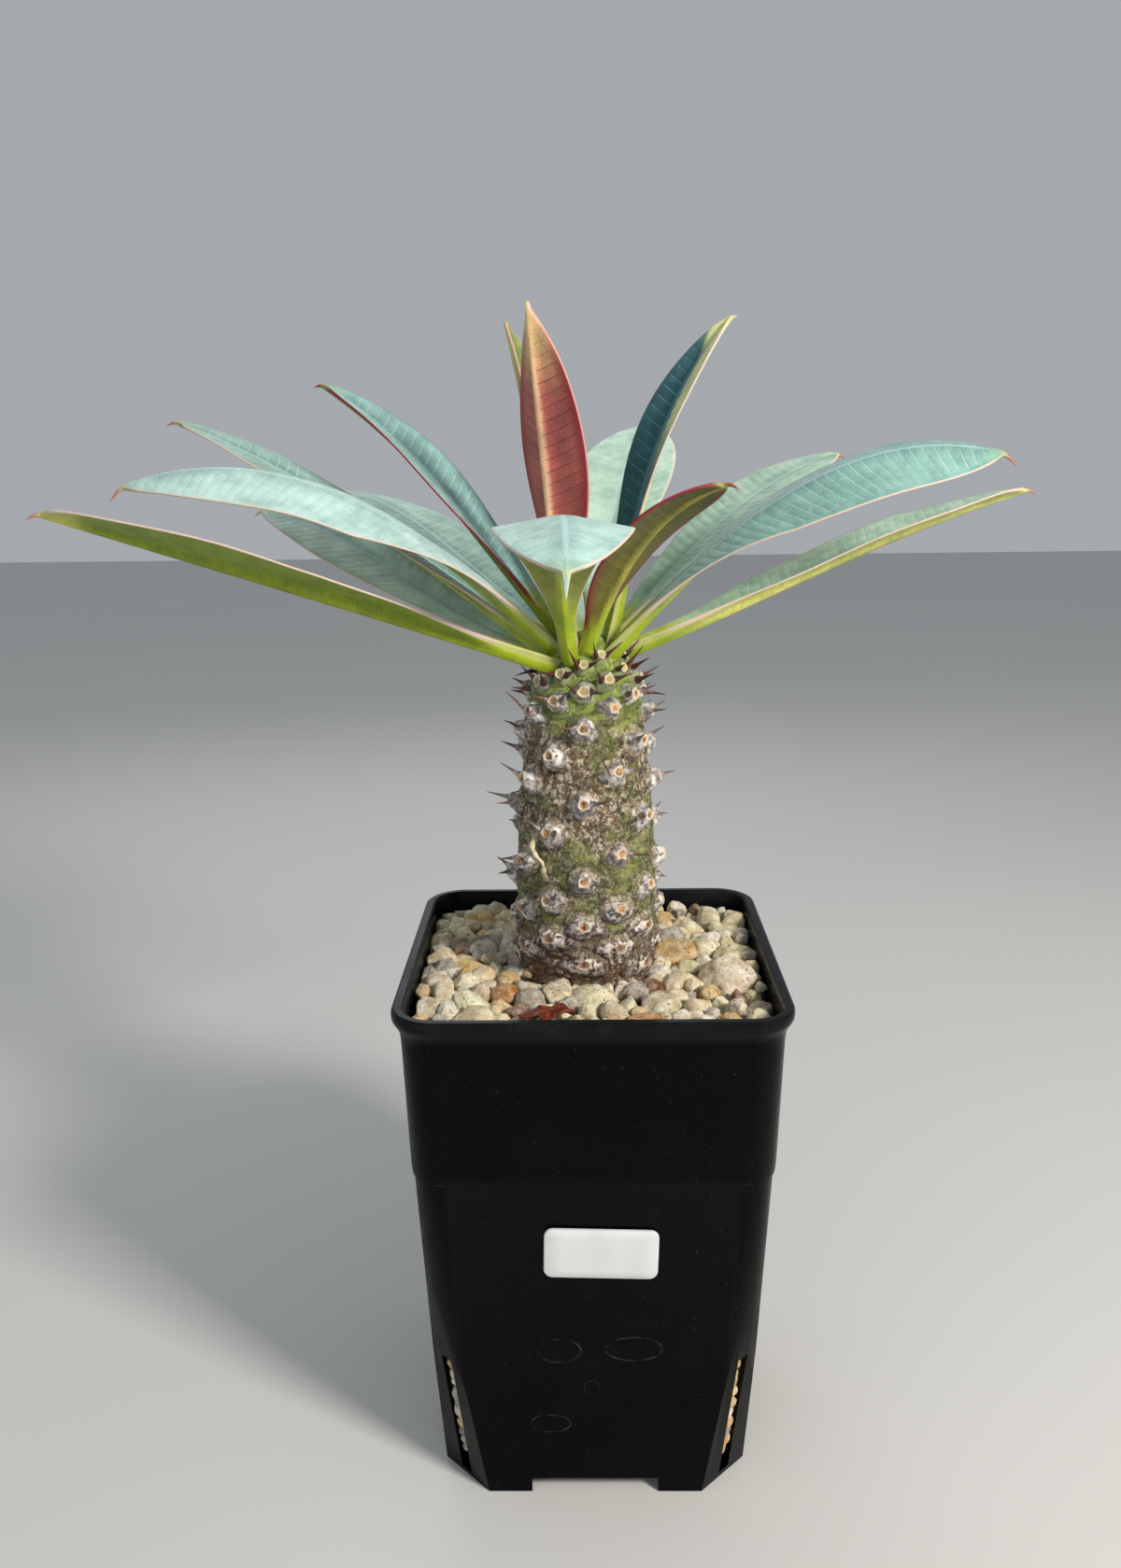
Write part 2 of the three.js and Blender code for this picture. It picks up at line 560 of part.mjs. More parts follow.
function makeLabel() {
  const [width, height] = LABEL_SIZE;
  const [right, top] = [width / 2, height / 2];
  const outline = new THREE.Shape();
  outline.moveTo(-right + LABEL_CORNER, -top);
  outline.absarc(right - LABEL_CORNER, -top + LABEL_CORNER, LABEL_CORNER, -Math.PI / 2, 0);
  outline.absarc(right - LABEL_CORNER, top - LABEL_CORNER, LABEL_CORNER, 0, Math.PI / 2);
  outline.absarc(-right + LABEL_CORNER, top - LABEL_CORNER, LABEL_CORNER, Math.PI / 2, Math.PI);
  outline.absarc(-right + LABEL_CORNER, -top + LABEL_CORNER, LABEL_CORNER, Math.PI, Math.PI * 1.5);
  const bevel = LABEL_THICKNESS / 3;
  const plate = new THREE.ExtrudeGeometry(outline, { depth: LABEL_THICKNESS - bevel, curveSegments: 3,
    bevelThickness: bevel, bevelSize: bevel, bevelOffset: -bevel, bevelSegments: 1 });
  return geometryOf(solidOf(plate));
}

// The dry scrap: a small pointed blade, curled up at both long edges, grown by a clearance and
// carried up by a height.
function makeScrap(clearance, height) {
  const [x, y, z] = SCRAP_MIDDLE;
  const bow = (along) => SCRAP_BOW * Math.sin(along * 5);
  const rings = [-0.46, -0.3, 0, 0.3, 0.46].map((along) => {
    const half = SCRAP_HALF * Math.cos(along * Math.PI) + 0.5 + clearance;
    const columns = [-1, -0.4, 0.4, 1];
    const point = (share, lift) => new THREE.Vector3(x + along * SCRAP_LENGTH, y + share * half,
      z + SCRAP_CURL * share * share + bow(along) + lift);
    return [...columns.map((share) => point(share, -clearance)),
      ...columns.map((share) => point(share, SCRAP_THICKNESS + clearance + height)).reverse()];
  });
  const end = (along) => new THREE.Vector3(x + along * (SCRAP_LENGTH + 2 * clearance), y,
    z + SCRAP_THICKNESS / 2 + bow(along));
  return loft(rings, end(-0.55), end(0.55), 4);
}

function piece(name, geometry, colour, roughness) {
  const material = new THREE.MeshStandardMaterial({ color: colour, roughness, metalness: 0,
    flatShading: true });
  const mesh = new THREE.Mesh(geometry, material);
  mesh.name = name;
  return mesh;
}

const leafRooms = LEAVES.map(leafRoot);
const plant = new THREE.Group();
plant.add(piece('pot', geometryOf(makePot()), 0x16171a, 0.45));
plant.add(piece('gravel', geometryOf(makeGravel(makeScrap(GAP, 12))), 0xcdbb98, 0.95));
plant.add(piece('stem', geometryOf(makeStem(leafRooms)), 0x7d7a58, 0.8));
LEAVES.forEach((leaf, number) => {
  const name = `leaf_${String(number + 1).padStart(2, '0')}`;
  plant.add(piece(name, geometryOf(fitted(leaf, leafRooms)), 0x8db3a6, 0.6));
});
plant.add(piece('fallen_leaf', geometryOf(makeScrap(0, 0)), 0x6b3222, 0.8));

const label = piece('label', makeLabel(), 0xe9e9e6, 0.4);
const [foot, step] = POT_OUTSIDE;
const wallLean = Math.atan((step[1] - foot[1]) / step[0]);
label.rotation.set(Math.PI / 2 + wallLean, 0, 0);
label.rotateZ(radians(LABEL_TURN));
label.position.set(LABEL_MIDDLE[0], -valueAt(POT_OUTSIDE, LABEL_MIDDLE[1]) - GAP, LABEL_MIDDLE[1]);
plant.add(label);

const box = new THREE.Box3().setFromObject(plant);
const middle = box.getCenter(new THREE.Vector3());
plant.position.set(-middle.x, -middle.y, 0);

export default plant;
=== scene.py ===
import math
from collections import namedtuple

import bmesh
import bpy
import numpy as np
from mathutils import Matrix, Vector


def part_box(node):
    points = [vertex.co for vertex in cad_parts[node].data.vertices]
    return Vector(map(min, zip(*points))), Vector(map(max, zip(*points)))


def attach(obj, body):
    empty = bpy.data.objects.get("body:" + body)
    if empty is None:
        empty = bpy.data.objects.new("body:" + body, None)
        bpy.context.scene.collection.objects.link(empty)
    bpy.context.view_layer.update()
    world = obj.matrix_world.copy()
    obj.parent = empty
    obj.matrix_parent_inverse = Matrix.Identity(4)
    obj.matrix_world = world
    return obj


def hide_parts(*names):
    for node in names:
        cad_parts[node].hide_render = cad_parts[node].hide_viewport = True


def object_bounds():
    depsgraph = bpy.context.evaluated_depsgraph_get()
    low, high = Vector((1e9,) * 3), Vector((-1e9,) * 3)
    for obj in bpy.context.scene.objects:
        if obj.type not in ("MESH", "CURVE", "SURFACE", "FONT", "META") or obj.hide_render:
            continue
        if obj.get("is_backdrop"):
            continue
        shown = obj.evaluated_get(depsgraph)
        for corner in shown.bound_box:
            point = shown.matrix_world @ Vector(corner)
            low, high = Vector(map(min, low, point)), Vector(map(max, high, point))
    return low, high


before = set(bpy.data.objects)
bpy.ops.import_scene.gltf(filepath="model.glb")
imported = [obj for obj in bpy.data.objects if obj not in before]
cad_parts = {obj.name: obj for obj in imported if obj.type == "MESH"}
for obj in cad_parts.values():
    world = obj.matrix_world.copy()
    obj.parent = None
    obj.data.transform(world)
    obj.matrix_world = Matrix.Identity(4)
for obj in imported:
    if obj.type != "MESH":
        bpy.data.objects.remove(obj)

# The looks of a potted Euphorbia pachypodioides. Lengths are in millimetres about the middle of the
# pot's foot, as in the part's source, and put_in_frame turns them into metres in the part's frame.
# Colours are display colours from 0 to 255.

CAD_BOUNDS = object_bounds()
SCENE = bpy.context.scene
MM = 0.001
POT_LOW, POT_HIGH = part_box("pot")
POT_CENTRE = np.array([(POT_LOW.x + POT_HIGH.x) / 2, (POT_LOW.y + POT_HIGH.y) / 2, POT_LOW.z])

# Camera: where the photograph was taken from, and how it was held.
CAMERA_PLACE = (-2.3, -300.5, 245.7)
CAMERA_PITCH, CAMERA_YAW, CAMERA_ROLL = -14.26, -0.91, -0.68
CAMERA_LENS = 29.56
SENSOR_WIDTH = 36

# Floor and lights: name, place and size in metres, power and tint.
FLOOR_REACH = 3.0
LIGHTS_AIM = Vector((0, 0, 0.18))
LIGHTS = [("key", (0.52, -0.5, 0.56), 0.16, 8.2, (1.0, 0.94, 0.85)),
          ("fill", (-0.5, -0.7, 0.3), 0.7, 1.1, (0.9, 0.95, 1.0)),
          ("back", (-0.15, 0.65, 0.6), 0.5, 1.2, (1.0, 1.0, 1.0))]
SKY_TINT = (0.9, 0.95, 1.0, 1)
SKY_STRENGTH = 0.42

# Pot: height and half-width of the outside, as in the part's source, with a rounder rim. The corners
# grow rounder where the half-width passes the width below the rim.
POT_OUTSIDE = [(0, 37.4), (86, 41.5), (86.6, 41.9), (88.5, 42.05), (119.5, 43), (121.6, 43.2),
               (123, 43.7), (124.2, 44.5), (124.9, 44.9), (125.6, 45), (126.6, 45), (127.2, 44.75),
               (127.5, 44.3)]
POT_MOUTH = [(119.5, 41.8), (126.4, 42.1), (127.1, 42.35), (127.5, 42.8)]
ABOVE_RIM = (129, 43.2, 8)
OUTSIDE_BELOW_RIM = 43
MOUTH_BELOW_RIM = 42
STEP_LINE = (86, 88.5)
POT_WALL = 1.2
POT_CORNER_RADIUS = 8.5
POT_CORNER_STEPS = 10
POT_CREASE = 32
FOOT_WALL = 2.2
FLOOR_UNDERSIDE = 4
FLOOR_TOP = 5.5
FOOT_NOTCH_WIDTH = 30.8
CHAMFER_DISTANCE = 44.8
CHAMFER_LEAN = 0.148
# Boxes that cut the pot's corners: width, inner and outer reach, low and high end.
CORNER_BOX = (60, 0, 20, -20, 100)
SLIT_BOX = (3.6, -3, 6, 1.5, 37)
DRAIN_RADIUS = 4
DRAIN_OFFSET = 18
DRAIN_ENDS = (2.5, 8.5)
DRAIN_SIDES = 32
# Dried drops of water on the front: x, height and half-sizes.
DRIED_DROPS = [(-8.2, 41.5, 5, 3.2), (9.2, 42, 6.6, 3.2), (-0.8, 31, 1.8, 1.8), (-10.6, 20.5, 4.6, 2.4)]

# Gravel: the level of its bed, of the stones' rest and the sizes of common and larger stones.
BED_LEVEL = 117.5
TOP_LEVEL = 122.9
LOWER_LEVEL = 118.4
# Heights over which painted shade darkens the top stones, fading out upwards.
PAINTED_SHADE_BETWEEN = (119.0, 121.9)
GRAVEL_HALF = 41.4
STEM_ROOM = 15.7
STONE_COUNT = 206
LOWER_COUNT = 230
STONE_SIZES = [(1.3, 0.15), (1.9, 0.22), (2.5, 0.29), (3.1, 0.23), (3.9, 0.11)]
FINE_FROM = 1.7
STONE_SEED = 5
STONE_PLANES = 10
STONE_SHARPNESS = 30
SLIT_STONE, SLIT_STONE_ROOM = 2.1, np.array([1.9, 1.5, 2.2])
SLIT_STONES_FROM, SLIT_STONES_PITCH = 7.6, 2.9
SPREAD_ROUNDS, QUICK_ROUNDS = 220, 60
# Kinds of stone: how common each is, and its colour.
STONE_KINDS = {
    "cream": (0.42, (248, 236, 202)), "pale": (0.16, (247, 243, 230)), "speckled": (0.18, (230, 219, 194)),
    "grey": (0.1, (178, 174, 165)), "tan": (0.1, (228, 194, 132)), "orange": (0.02, (208, 140, 58)),
    "brown": (0.02, (130, 82, 42)),
}
# Larger stones that the photograph shows: x, y, radius and kind.
BIG_STONES = [(33.5, -10, 6.4, "speckled"), (22, 7.5, 6.6, "tan"), (-15, -12.5, 5, "speckled"),
              (0.5, -20, 5.2, "cream"), (-20.5, -17.5, 3.7, "orange"), (-33, 9, 2.9, "brown"),
              (-36, -2, 3.9, "grey"), (-28, -24, 4.4, "cream"), (-8, -19, 3.6, "cream"),
              (10.5, -17, 3, "grey"), (14.5, -14, 3, "brown"), (16.5, -25.5, 4.2, "speckled"),
              (25, -24, 4, "cream"), (-27, 17, 4.2, "grey"), (-30, 31, 3.6, "tan"), (32, 31, 4, "speckled"),
              (30, 10, 3.6, "cream"), (-22, 34, 4.4, "cream"), (20, 31, 4.2, "tan"), (5, 30, 4.2, "grey")]

# Stem: height and radius of the fine skin, the same in the part's source, and the spiral rule with
# the heights of its places.
STEM_AXIS = np.array([-1.0, 1.0])
STEM_PROFILE = [(97, 9), (103, 15), (112, 15.4), (120, 15.8), (126, 16.2), (131, 16.6), (141, 16.8),
                (150, 16.6), (160, 16.1), (169, 15.3), (178.5, 14.4), (188, 13.2), (195.4, 10.4),
                (199.8, 8.2), (203, 6), (205.2, 3.6), (206.4, 0.6)]
CAD_PROFILE = [(97, 9), (103, 15), (120, 15.8), (131, 16.7), (141, 16.8), (160, 16.2), (178.5, 14.5),
               (188, 13.2), (195.4, 10.4), (199.8, 8.2), (203, 6), (205.2, 3.6)]
SPIRAL_START = -92
SPIRAL_TURN = 138.46
SPIRAL_HEIGHTS = [(-46, 205.2), (-31, 200.6), (-16, 194.4), (-5, 189.4), (0, 185), (10, 172), (18, 160.4),
                  (23, 152.3), (31, 144.2), (39, 138.4), (58, 124.5)]
FIRST_SCAR, LAST_SCAR = -31, 56
YOUNG_UNTIL = -12
WORN_BETWEEN = (24, 48)
SKIN_FROM, SKIN_TO, SKIN_TOP = 116, 206.2, 206.4
SKIN_STEPS = 0.36
SKIN_COLUMNS = 300
BARK_BETWEEN = (128, 139)
CROWN_BETWEEN = (182, 192)
CORK_FROM, CORK_TO = (154, 166), (178, 187)
# Swelling of the skin round a tubercle: half-width, half-height and how proud it is, each with the
# shares by which wear and youth change it.
SWELLING = [(3.7, 0.36, -0.25), (3.6, -0.14, -0.25), (1.9, -0.35, -0.45)]

# Tubercles: share of the foot's radius and rise of each ring up to the scar in the middle. Then the
# foot's radius and how proud a tubercle is, with the same two shares.
TUBERCLE_OUTLINE = [(1.14, -2.2), (1.02, -0.9), (0.9, 0.05), (0.76, 0.95), (0.62, 1.8), (0.5, 2.5),
                    (0.43, 2.88), (0.385, 3.06), (0.35, 3.06), (0.31, 2.84), (0.19, 2.72), (0.08, 2.82)]
TUBERCLE_SIZES = [(3.35, 0.12, -0.25), (1.0, -0.42, -0.42)]
TUBERCLE_RIM = 0.47
TUBERCLE_SIDES = 26
TUBERCLE_SEED = 31
SCAR_SHARE = 0.3

SPINES_TO = 35
SPINE_LENGTH = 5.2
SPINE_BROKEN = (1.2, 2.2)
SPINE_SUNK = 1.2
SPINE_SIDES, SPINE_RINGS = 8, 9
SPINE_SEED = 44

THREAD_POINTS = [(-12, -10, 160.3), (-13.6, -14.4, 158.7), (-12.8, -16.4, 156.7), (-11.2, -16.8, 154.7),
                 (-10.9, -16.2, 152.3), (-10.7, -12.6, 149.7)]
THREAD_RADIUS = 0.62
THREAD_SIDES, THREAD_RINGS = 10, 40

# Leaves, as in the part's source: place in the spiral, heading, chord, rise, the way each leaves
# and arrives, half-width, fold and roll at stalk, middle and tip, and the taper of the blade.
Leaf = namedtuple("Leaf", "place heading chord rise leave arrive half fold roll taper",
                  defaults=((0, 0, 0), 0.72))
LEAVES = [
    Leaf(-29, -168, 116.5, 18.1, (-155, 19), (-170, 18), 12, (6, 11, 10), (8, 13, 10), 0.62),
    Leaf(-37, -174, 105, 22, (-175, 44), (-172, -20), 12.5, (12, -18, -20), (8, -16, -18)),
    Leaf(-32, 168, 109.5, 30.2, (165, 34), (168, 22), 10.5, (6, 3, 2), (-2, -2, -3)),
    Leaf(-27, 152, 98, 20.4, (150, 9), (152, 9), 12, (8, 4, 2), (-8, -15, -16)),
    Leaf(-35, 134, 104, 20, (130, 13), (134, 4), 13, (8, 0, -6), (4, 2, 0)),
    Leaf(-40, 164, 86.5, 44.6, (160, 45.5), (164, 32), 9.4, (14, 13, 12), (-3, -6, -3)),
    Leaf(-30, 106, 108, 8, (106, 20), (106, -10), 13, (8, 4, 0)),
    Leaf(-34, -90, 97, 17, (-104, 60), (-90, -28), 13, (10, -10, -14)),
    Leaf(-42, -122, 75, 79.5, (-136, 82), (-124, 82), 9.6, (20, 18, 16), (-12, -12, -12), 0.95),
    Leaf(-45, 132, 75, 73.6, (127, 73), (133, 71), 4.2, (40, 50, 55), (0, 0, 0), 1),
    Leaf(-41, 18, 79.5, 68, (8, 77), (24, 47), 7, (20, 18, 12), (0, 10, 12), 0.8),
    Leaf(-43, 74, 76, 41.5, (74, 58), (74, 20), 12.8, (8, 4, 0)),
    Leaf(-39, -40, 54.5, 45, (-52, 59), (-37, 16), 11.4, (12, 0, -4), (0, 4, -4)),
    Leaf(-38, 34, 87.5, 30.2, (38, 35), (32, 13), 11.4, (8, 4, 0), (0, 0, 6)),
    Leaf(-36, -4, 98.5, 27, (-10, 47), (-2, -14), 13, (10, -17, -24), (0, 18, 28)),
    Leaf(-33, 14, 113, 18.5, (14, 16.5), (14, 14), 11.5, (12, 13, 10), (-1, -2, -5)),
]
LEAF_ROWS = 144
LEAF_COLUMNS = 32
MIDRIB_STEPS = 600
MIDRIB_PULL = 0.37
ROOT_SUNK = 1.6
YOUNGEST, GROWN = -45, -33
STALK_HALF = (1.5, 2.1)
STALK_DEPTH = (2.6, 3.8)
KEEL_END = 1.1
BLADE_FROM = 0.06
BLADE_RISE = 1.25
BLADE_OPENS = 5
BLADE_MARGIN, BLADE_THIN = 0.42, 0.6
GROOVE = 0.3
RIPPLE, RIPPLE_LENGTH = 0.22, 6.5
QUILT = 0.09
VEIN_PITCH = 2.7
HOOK_LENGTH = 3.6
HOOK_DROP = 2.2
HOOK_STEPS = 8

STALK, STALK_PALE = (162, 180, 38), (190, 200, 84)
TIP, PINK_TIP = (214, 208, 108), (226, 188, 134)
PINK_EDGE, RED_EDGE = (208, 186, 174), (136, 34, 50)
PALE_STRIP = (226, 226, 158)
# Looks of each leaf: its kind of veins, its colours, and how far along its pale tip begins.
Look = namedtuple("Look", "kind top under keel margin tip_from hook tip",
                  defaults=((120, 142, 60), (190, 192, 96), PINK_EDGE, 0.985, (186, 84, 46), TIP))
LOOKS = [
    Look("grown", (154, 190, 172), (132, 152, 26), (158, 172, 44), tip_from=0.9),
    Look("grown", (186, 216, 212), (150, 164, 84)),
    Look("grown", (134, 174, 164)),
    # Leaf 4: its top painted lighter to make up for the shadow that leaf 2 casts on it.
    Look("grown", (206, 234, 216), hook=(176, 200, 176)),
    Look("grown", (150, 186, 174)),
    Look("grown", (138, 178, 174), (118, 112, 50), (150, 140, 80), RED_EDGE),
    Look("grown", (172, 206, 190)),
    Look("grown", (176, 210, 204), (142, 148, 72), (186, 194, 92), tip_from=0.999, hook=(172, 202, 184)),
    Look("red", (62, 108, 108), (182, 94, 86), (234, 188, 150), RED_EDGE, 0.74, (214, 222, 120), PINK_TIP),
    Look("red", (120, 160, 120), (170, 84, 76), (200, 190, 110), RED_EDGE, 0.74, (214, 216, 120)),
    # Leaf 11: its top painted dark teal for the shade it lies in.
    Look("teal", (58, 110, 118), (222, 226, 146), (236, 236, 174), hook=(226, 220, 150)),
    Look("grown", (196, 226, 208), (130, 150, 70)),
    Look("olive", (150, 186, 176), (102, 98, 34), (168, 160, 76), RED_EDGE),
    Look("grown", (172, 206, 186), (130, 150, 70)),
    Look("grown", (134, 178, 170), (150, 164, 84)),
    Look("grown", (174, 206, 180), (220, 222, 116), (228, 224, 136), tip_from=0.95),
]
# Each kind of leaf: colour and strength of the veins on top, and the same underneath.
VEINS = {
    "grown": ((218, 240, 232), 0.5, (92, 106, 40), 0.25),
    "teal": ((132, 176, 184), 0.75, (190, 196, 110), 0.2),
    "red": ((150, 190, 186), 0.6, (92, 34, 34), 0.55),
    "olive": ((206, 226, 214), 0.4, (64, 56, 18), 0.4),
}

# Label, with the share of its outline and the rise of each ring, and dry scrap of leaf.
LABEL_MIDDLE = (1.6, 68.8)
LABEL_SIZE = (26.3, 12.8)
LABEL_CORNER, LABEL_CORNER_STEPS = 2, 6
LABEL_THICKNESS = 0.8
LABEL_RINGS = [(1.0, 0.0), (1.0, 0.45), (0.992, 0.65), (0.975, 0.76), (0.7, LABEL_THICKNESS),
               (0.35, LABEL_THICKNESS)]
LABEL_TURN = -1.5
LABEL_CREASE = 50
SCRAP_MIDDLE = (-10.2, -34.5, 124.6)
SCRAP_LENGTH = 11.6
SCRAP_HALF = 3.4
SCRAP_THICKNESS = 0.5
SCRAP_ROWS, SCRAP_COLUMNS = 56, 26
SCRAP_CLEARING = 6.5
GAP = 0.3


def put_in_frame(points):
    """Points in millimetres about the pot's foot, as metres in the part's frame."""
    return np.asarray(points, float) * MM + POT_CENTRE


def colour(display):
    """A display colour as the linear colour that the nodes take."""
    share = np.array(display) / 255
    return np.where(share <= 0.04045, share / 12.92, ((share + 0.055) / 1.055) ** 2.4)


def blend(low, high, share):
    """Mixes two display colours, or arrays of linear ones, by an array of shares."""
    low, high = (colour(end) if isinstance(end, tuple) else end for end in (low, high))
    share = np.asarray(share, float)[..., None]
    return low * (1 - share) + high * share


def smooth(value, low, high):
    """0 below low, 1 above high and a smooth step between."""
    share = np.clip((np.asarray(value, float) - low) / (high - low), 0, 1)
    return share * share * (3 - 2 * share)


def table_value(pairs, position):
    """Reads a table of (position, value) between its rows."""
    return np.interp(position, *zip(*pairs))


def unit(vectors):
    return vectors / np.linalg.norm(vectors, axis=-1, keepdims=True)


def direction(heading, rise):
    """A unit vector from its heading about Z and its rise above the horizontal, in degrees."""
    heading, rise = math.radians(heading), math.radians(rise)
    return np.array([math.cos(rise) * math.cos(heading), math.cos(rise) * math.sin(heading), math.sin(rise)])


def waves(points, scale, seed, count=7):
    """A smooth random field between about -1 and 1 with features of a size, made of crossed waves."""
    random = np.random.RandomState(seed)
    total = np.zeros(len(points))
    for _ in range(count):
        way = unit(random.normal(size=3)) * 2 * math.pi / scale * random.uniform(0.6, 1.5)
        total += np.sin(points @ way + random.uniform(0, 2 * math.pi))
    return total / math.sqrt(count)


class Value:
    """A node's output, which is reckoned with like a number and coated like a colour."""

    def __init__(self, paint, socket):
        self.paint, self.socket = paint, socket

    def maths(self, operation, other=0.0):
        return self.paint.node("Math", {0: self, 1: other}, operation=operation)

    def __add__(self, other):
        return self.maths("ADD", other)

    def __sub__(self, other):
        return self.maths("SUBTRACT", other)

    def __mul__(self, other):
        return self.maths("MULTIPLY", other)

    def __truediv__(self, other):
        return self.maths("DIVIDE", other)

    def __abs__(self):
        return self.maths("ABSOLUTE")

    def span(self, low, high, start=0.0, end=1.0):
        """Maps the value from low..high smoothly to start..end."""
        inputs = {"Value": self, "From Min": low, "From Max": high, "To Min": start, "To Max": end}
        return self.paint.node("MapRange", inputs, "Result", interpolation_type="SMOOTHSTEP")

    def coat(self, share, over):
        """This colour with a share of another over it."""
        return self.paint.mix(share, self, over)


class Paint:
    """A node material around one Principled shader, built with short calls."""

    def __init__(self, name, specular=0.5, **settings):
        self.material = bpy.data.materials.new(name)
        self.material.use_nodes = True
        self.tree = self.material.node_tree
        self.tree.nodes.clear()
        output = self.tree.nodes.new("ShaderNodeOutputMaterial")
        self.shader = self.tree.nodes.new("ShaderNodeBsdfPrincipled")
        self.tree.links.new(self.shader.outputs[0], output.inputs[0])
        self.place = self.node("TexCoord", {}, "Object")
        self.shader.inputs["Specular IOR Level"].default_value = specular
        for key, value in settings.items():
            self.shader.inputs[key.replace("_", " ")].default_value = value

    def put(self, socket, value):
        """Gives a socket a value: another node's, a number, a vector or a display colour."""
        if isinstance(value, Value):
            self.tree.links.new(value.socket, socket)
        else:
            socket.default_value = (*colour(value), 1.0) if socket.type == "RGBA" else value

    def node(self, kind, inputs, output=0, **settings):
        """Adds a node with its settings and inputs, and returns one of its outputs."""
        node = self.tree.nodes.new("ShaderNode" + kind)
        for key, value in settings.items():
            setattr(node, key, value)
        for key, value in inputs.items():
            self.put(node.inputs[key], value)
        return Value(self, node.outputs[output])

    def numbers(self, *names):
        """The numbers of these names that the piece's points carry."""
        return [self.node("Attribute", {}, "Fac", attribute_name=name) for name in names]

    def tint(self):
        return self.node("Attribute", {}, "Color", attribute_name="tint")

    def noise(self, scale, detail=2.0, roughness=0.5, distortion=0.0, stretch=None):
        place = self.place
        if stretch:
            place = self.node("VectorMath", {0: place, 1: stretch}, operation="MULTIPLY")
        return self.node("TexNoise", {"Vector": place, "Scale": scale, "Detail": detail,
                                      "Roughness": roughness, "Distortion": distortion}, "Fac")

    def cells(self, scale, feature="F1"):
        return self.node("TexVoronoi", {"Vector": self.place, "Scale": scale}, "Distance", feature=feature)

    def mix(self, share, low, high, way="MIX"):
        return self.node("Mix", {"Factor": share, 6: low, 7: high}, 2, data_type="RGBA", blend_type=way)

    def bump(self, height, distance, strength=1.0, **normal):
        inputs = {"Height": height, "Distance": distance * MM, "Strength": strength, **normal}
        return self.node("Bump", inputs)

    def finish(self, base, roughness, normal=None):
        for key, value in (("Base Color", base), ("Roughness", roughness), ("Normal", normal)):
            if value is not None:
                self.put(self.shader.inputs[key], value)
        return self.material


def solid_object(name, points, faces):
    """An object, not yet in the scene, from points in millimetres and faces."""
    mesh = bpy.data.meshes.new(name)
    mesh.from_pydata(put_in_frame(points).tolist(), [], faces)
    return bpy.data.objects.new(name, mesh)


def joined(shapes):
    """One shape, and the numbers of its points, from shapes of (points, faces, numbers)."""
    points, faces, numbers = [], [], {}
    for own_points, own_faces, own_numbers in shapes:
        faces += [tuple(len(points) + index for index in face) for face in own_faces]
        points.extend(own_points)
        for key, values in own_numbers.items():
            numbers.setdefault(key, []).extend(values + np.zeros(len(own_points)))
    return (np.array(points), faces), numbers


def add_piece(name, shape, material, node=None, numbers=None, tints=None):
    """Makes a smooth piece of a shape's points and faces, with the numbers and tints of its points."""
    piece = solid_object(name, *shape)
    attributes = piece.data.attributes
    for key, values in (numbers or {}).items():
        attributes.new(key, "FLOAT", "POINT").data.foreach_set("value", np.asarray(values, np.float32))
    if tints is not None:
        opaque = np.column_stack([tints, np.ones(len(tints))]).astype(np.float32)
        attributes.new("tint", "FLOAT_COLOR", "POINT").data.foreach_set("color", opaque.ravel())
    piece.data.shade_smooth()
    return dress(piece, material, node)


def dress(piece, material, node=None):
    """Gives a piece its material and the node it replaces, and rides it on the root body."""
    piece.data.materials.clear()
    piece.data.materials.append(material)
    SCENE.collection.objects.link(piece)
    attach(piece, "root")
    if node:
        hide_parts(node)
    return piece


def grid_faces(rows, columns, closed):
    """Quads of a grid of points, row by row, whose columns may close on themselves."""
    faces = []
    for row in range(rows - 1):
        for column in range(columns if closed else columns - 1):
            beside = (column + 1) % columns
            faces.append((row * columns + column, row * columns + beside,
                          (row + 1) * columns + beside, (row + 1) * columns + column))
    return faces


def tube(rings, first, last):
    """The points and faces of a closed solid through rings, with a point at each end."""
    rings = np.asarray(rings, float)
    rows, columns = rings.shape[:2]
    faces = grid_faces(rows, columns, True)
    top, ends = (rows - 1) * columns, rows * columns
    for column in range(columns):
        beside = (column + 1) % columns
        faces += [(ends, beside, column), (ends + 1, top + column, top + beside)]
    return np.vstack([rings.reshape(-1, 3), first, last]), faces


def turns(sides):
    return np.arange(sides) * 2 * math.pi / sides


def ellipse(middle, side, up, wide, tall, turned):
    """A ring of points about a middle, at the given angles."""
    return middle + np.outer(wide * np.cos(turned), side) + np.outer(tall * np.sin(turned), up)


def rounded_ring(half_x, half_y, radius, steps):
    """Corners of a rectangle with rounded corners, counterclockwise."""
    ring = []
    for corner, (x, y) in enumerate(((1, 1), (-1, 1), (-1, -1), (1, -1))):
        for step in range(steps + 1):
            angle = (corner + step / steps) * math.pi / 2
            ring.append((x * (half_x - radius) + radius * math.cos(angle),
                         y * (half_y - radius) + radius * math.sin(angle)))
    return ring


# Pot


def box_object(low, high, turn=Matrix()):
    corners = [turn @ Vector((x, y, z)) for z in (low[2], high[2]) for y in (low[1], high[1])
               for x in (low[0], high[0])]
    faces = [(0, 2, 3, 1), (4, 5, 7, 6), (0, 1, 5, 4), (2, 6, 7, 3), (0, 4, 6, 2), (1, 3, 7, 5)]
    return solid_object("tool", corners, faces)


def corner_boxes(width, inner, outer, low, high, shift=0.0):
    """The same box at each corner of the pot, leaning out with the chamfer."""
    for corner in range(4):
        turn = (Matrix.Rotation((corner + 0.5) * math.pi / 2, 4, "Z")
                @ Matrix.Translation((CHAMFER_DISTANCE - shift, 0, 0))
                @ Matrix.Rotation(math.atan(CHAMFER_LEAN), 4, "Y"))
        yield box_object((inner, -width / 2, low), (outer, width / 2, high), turn)


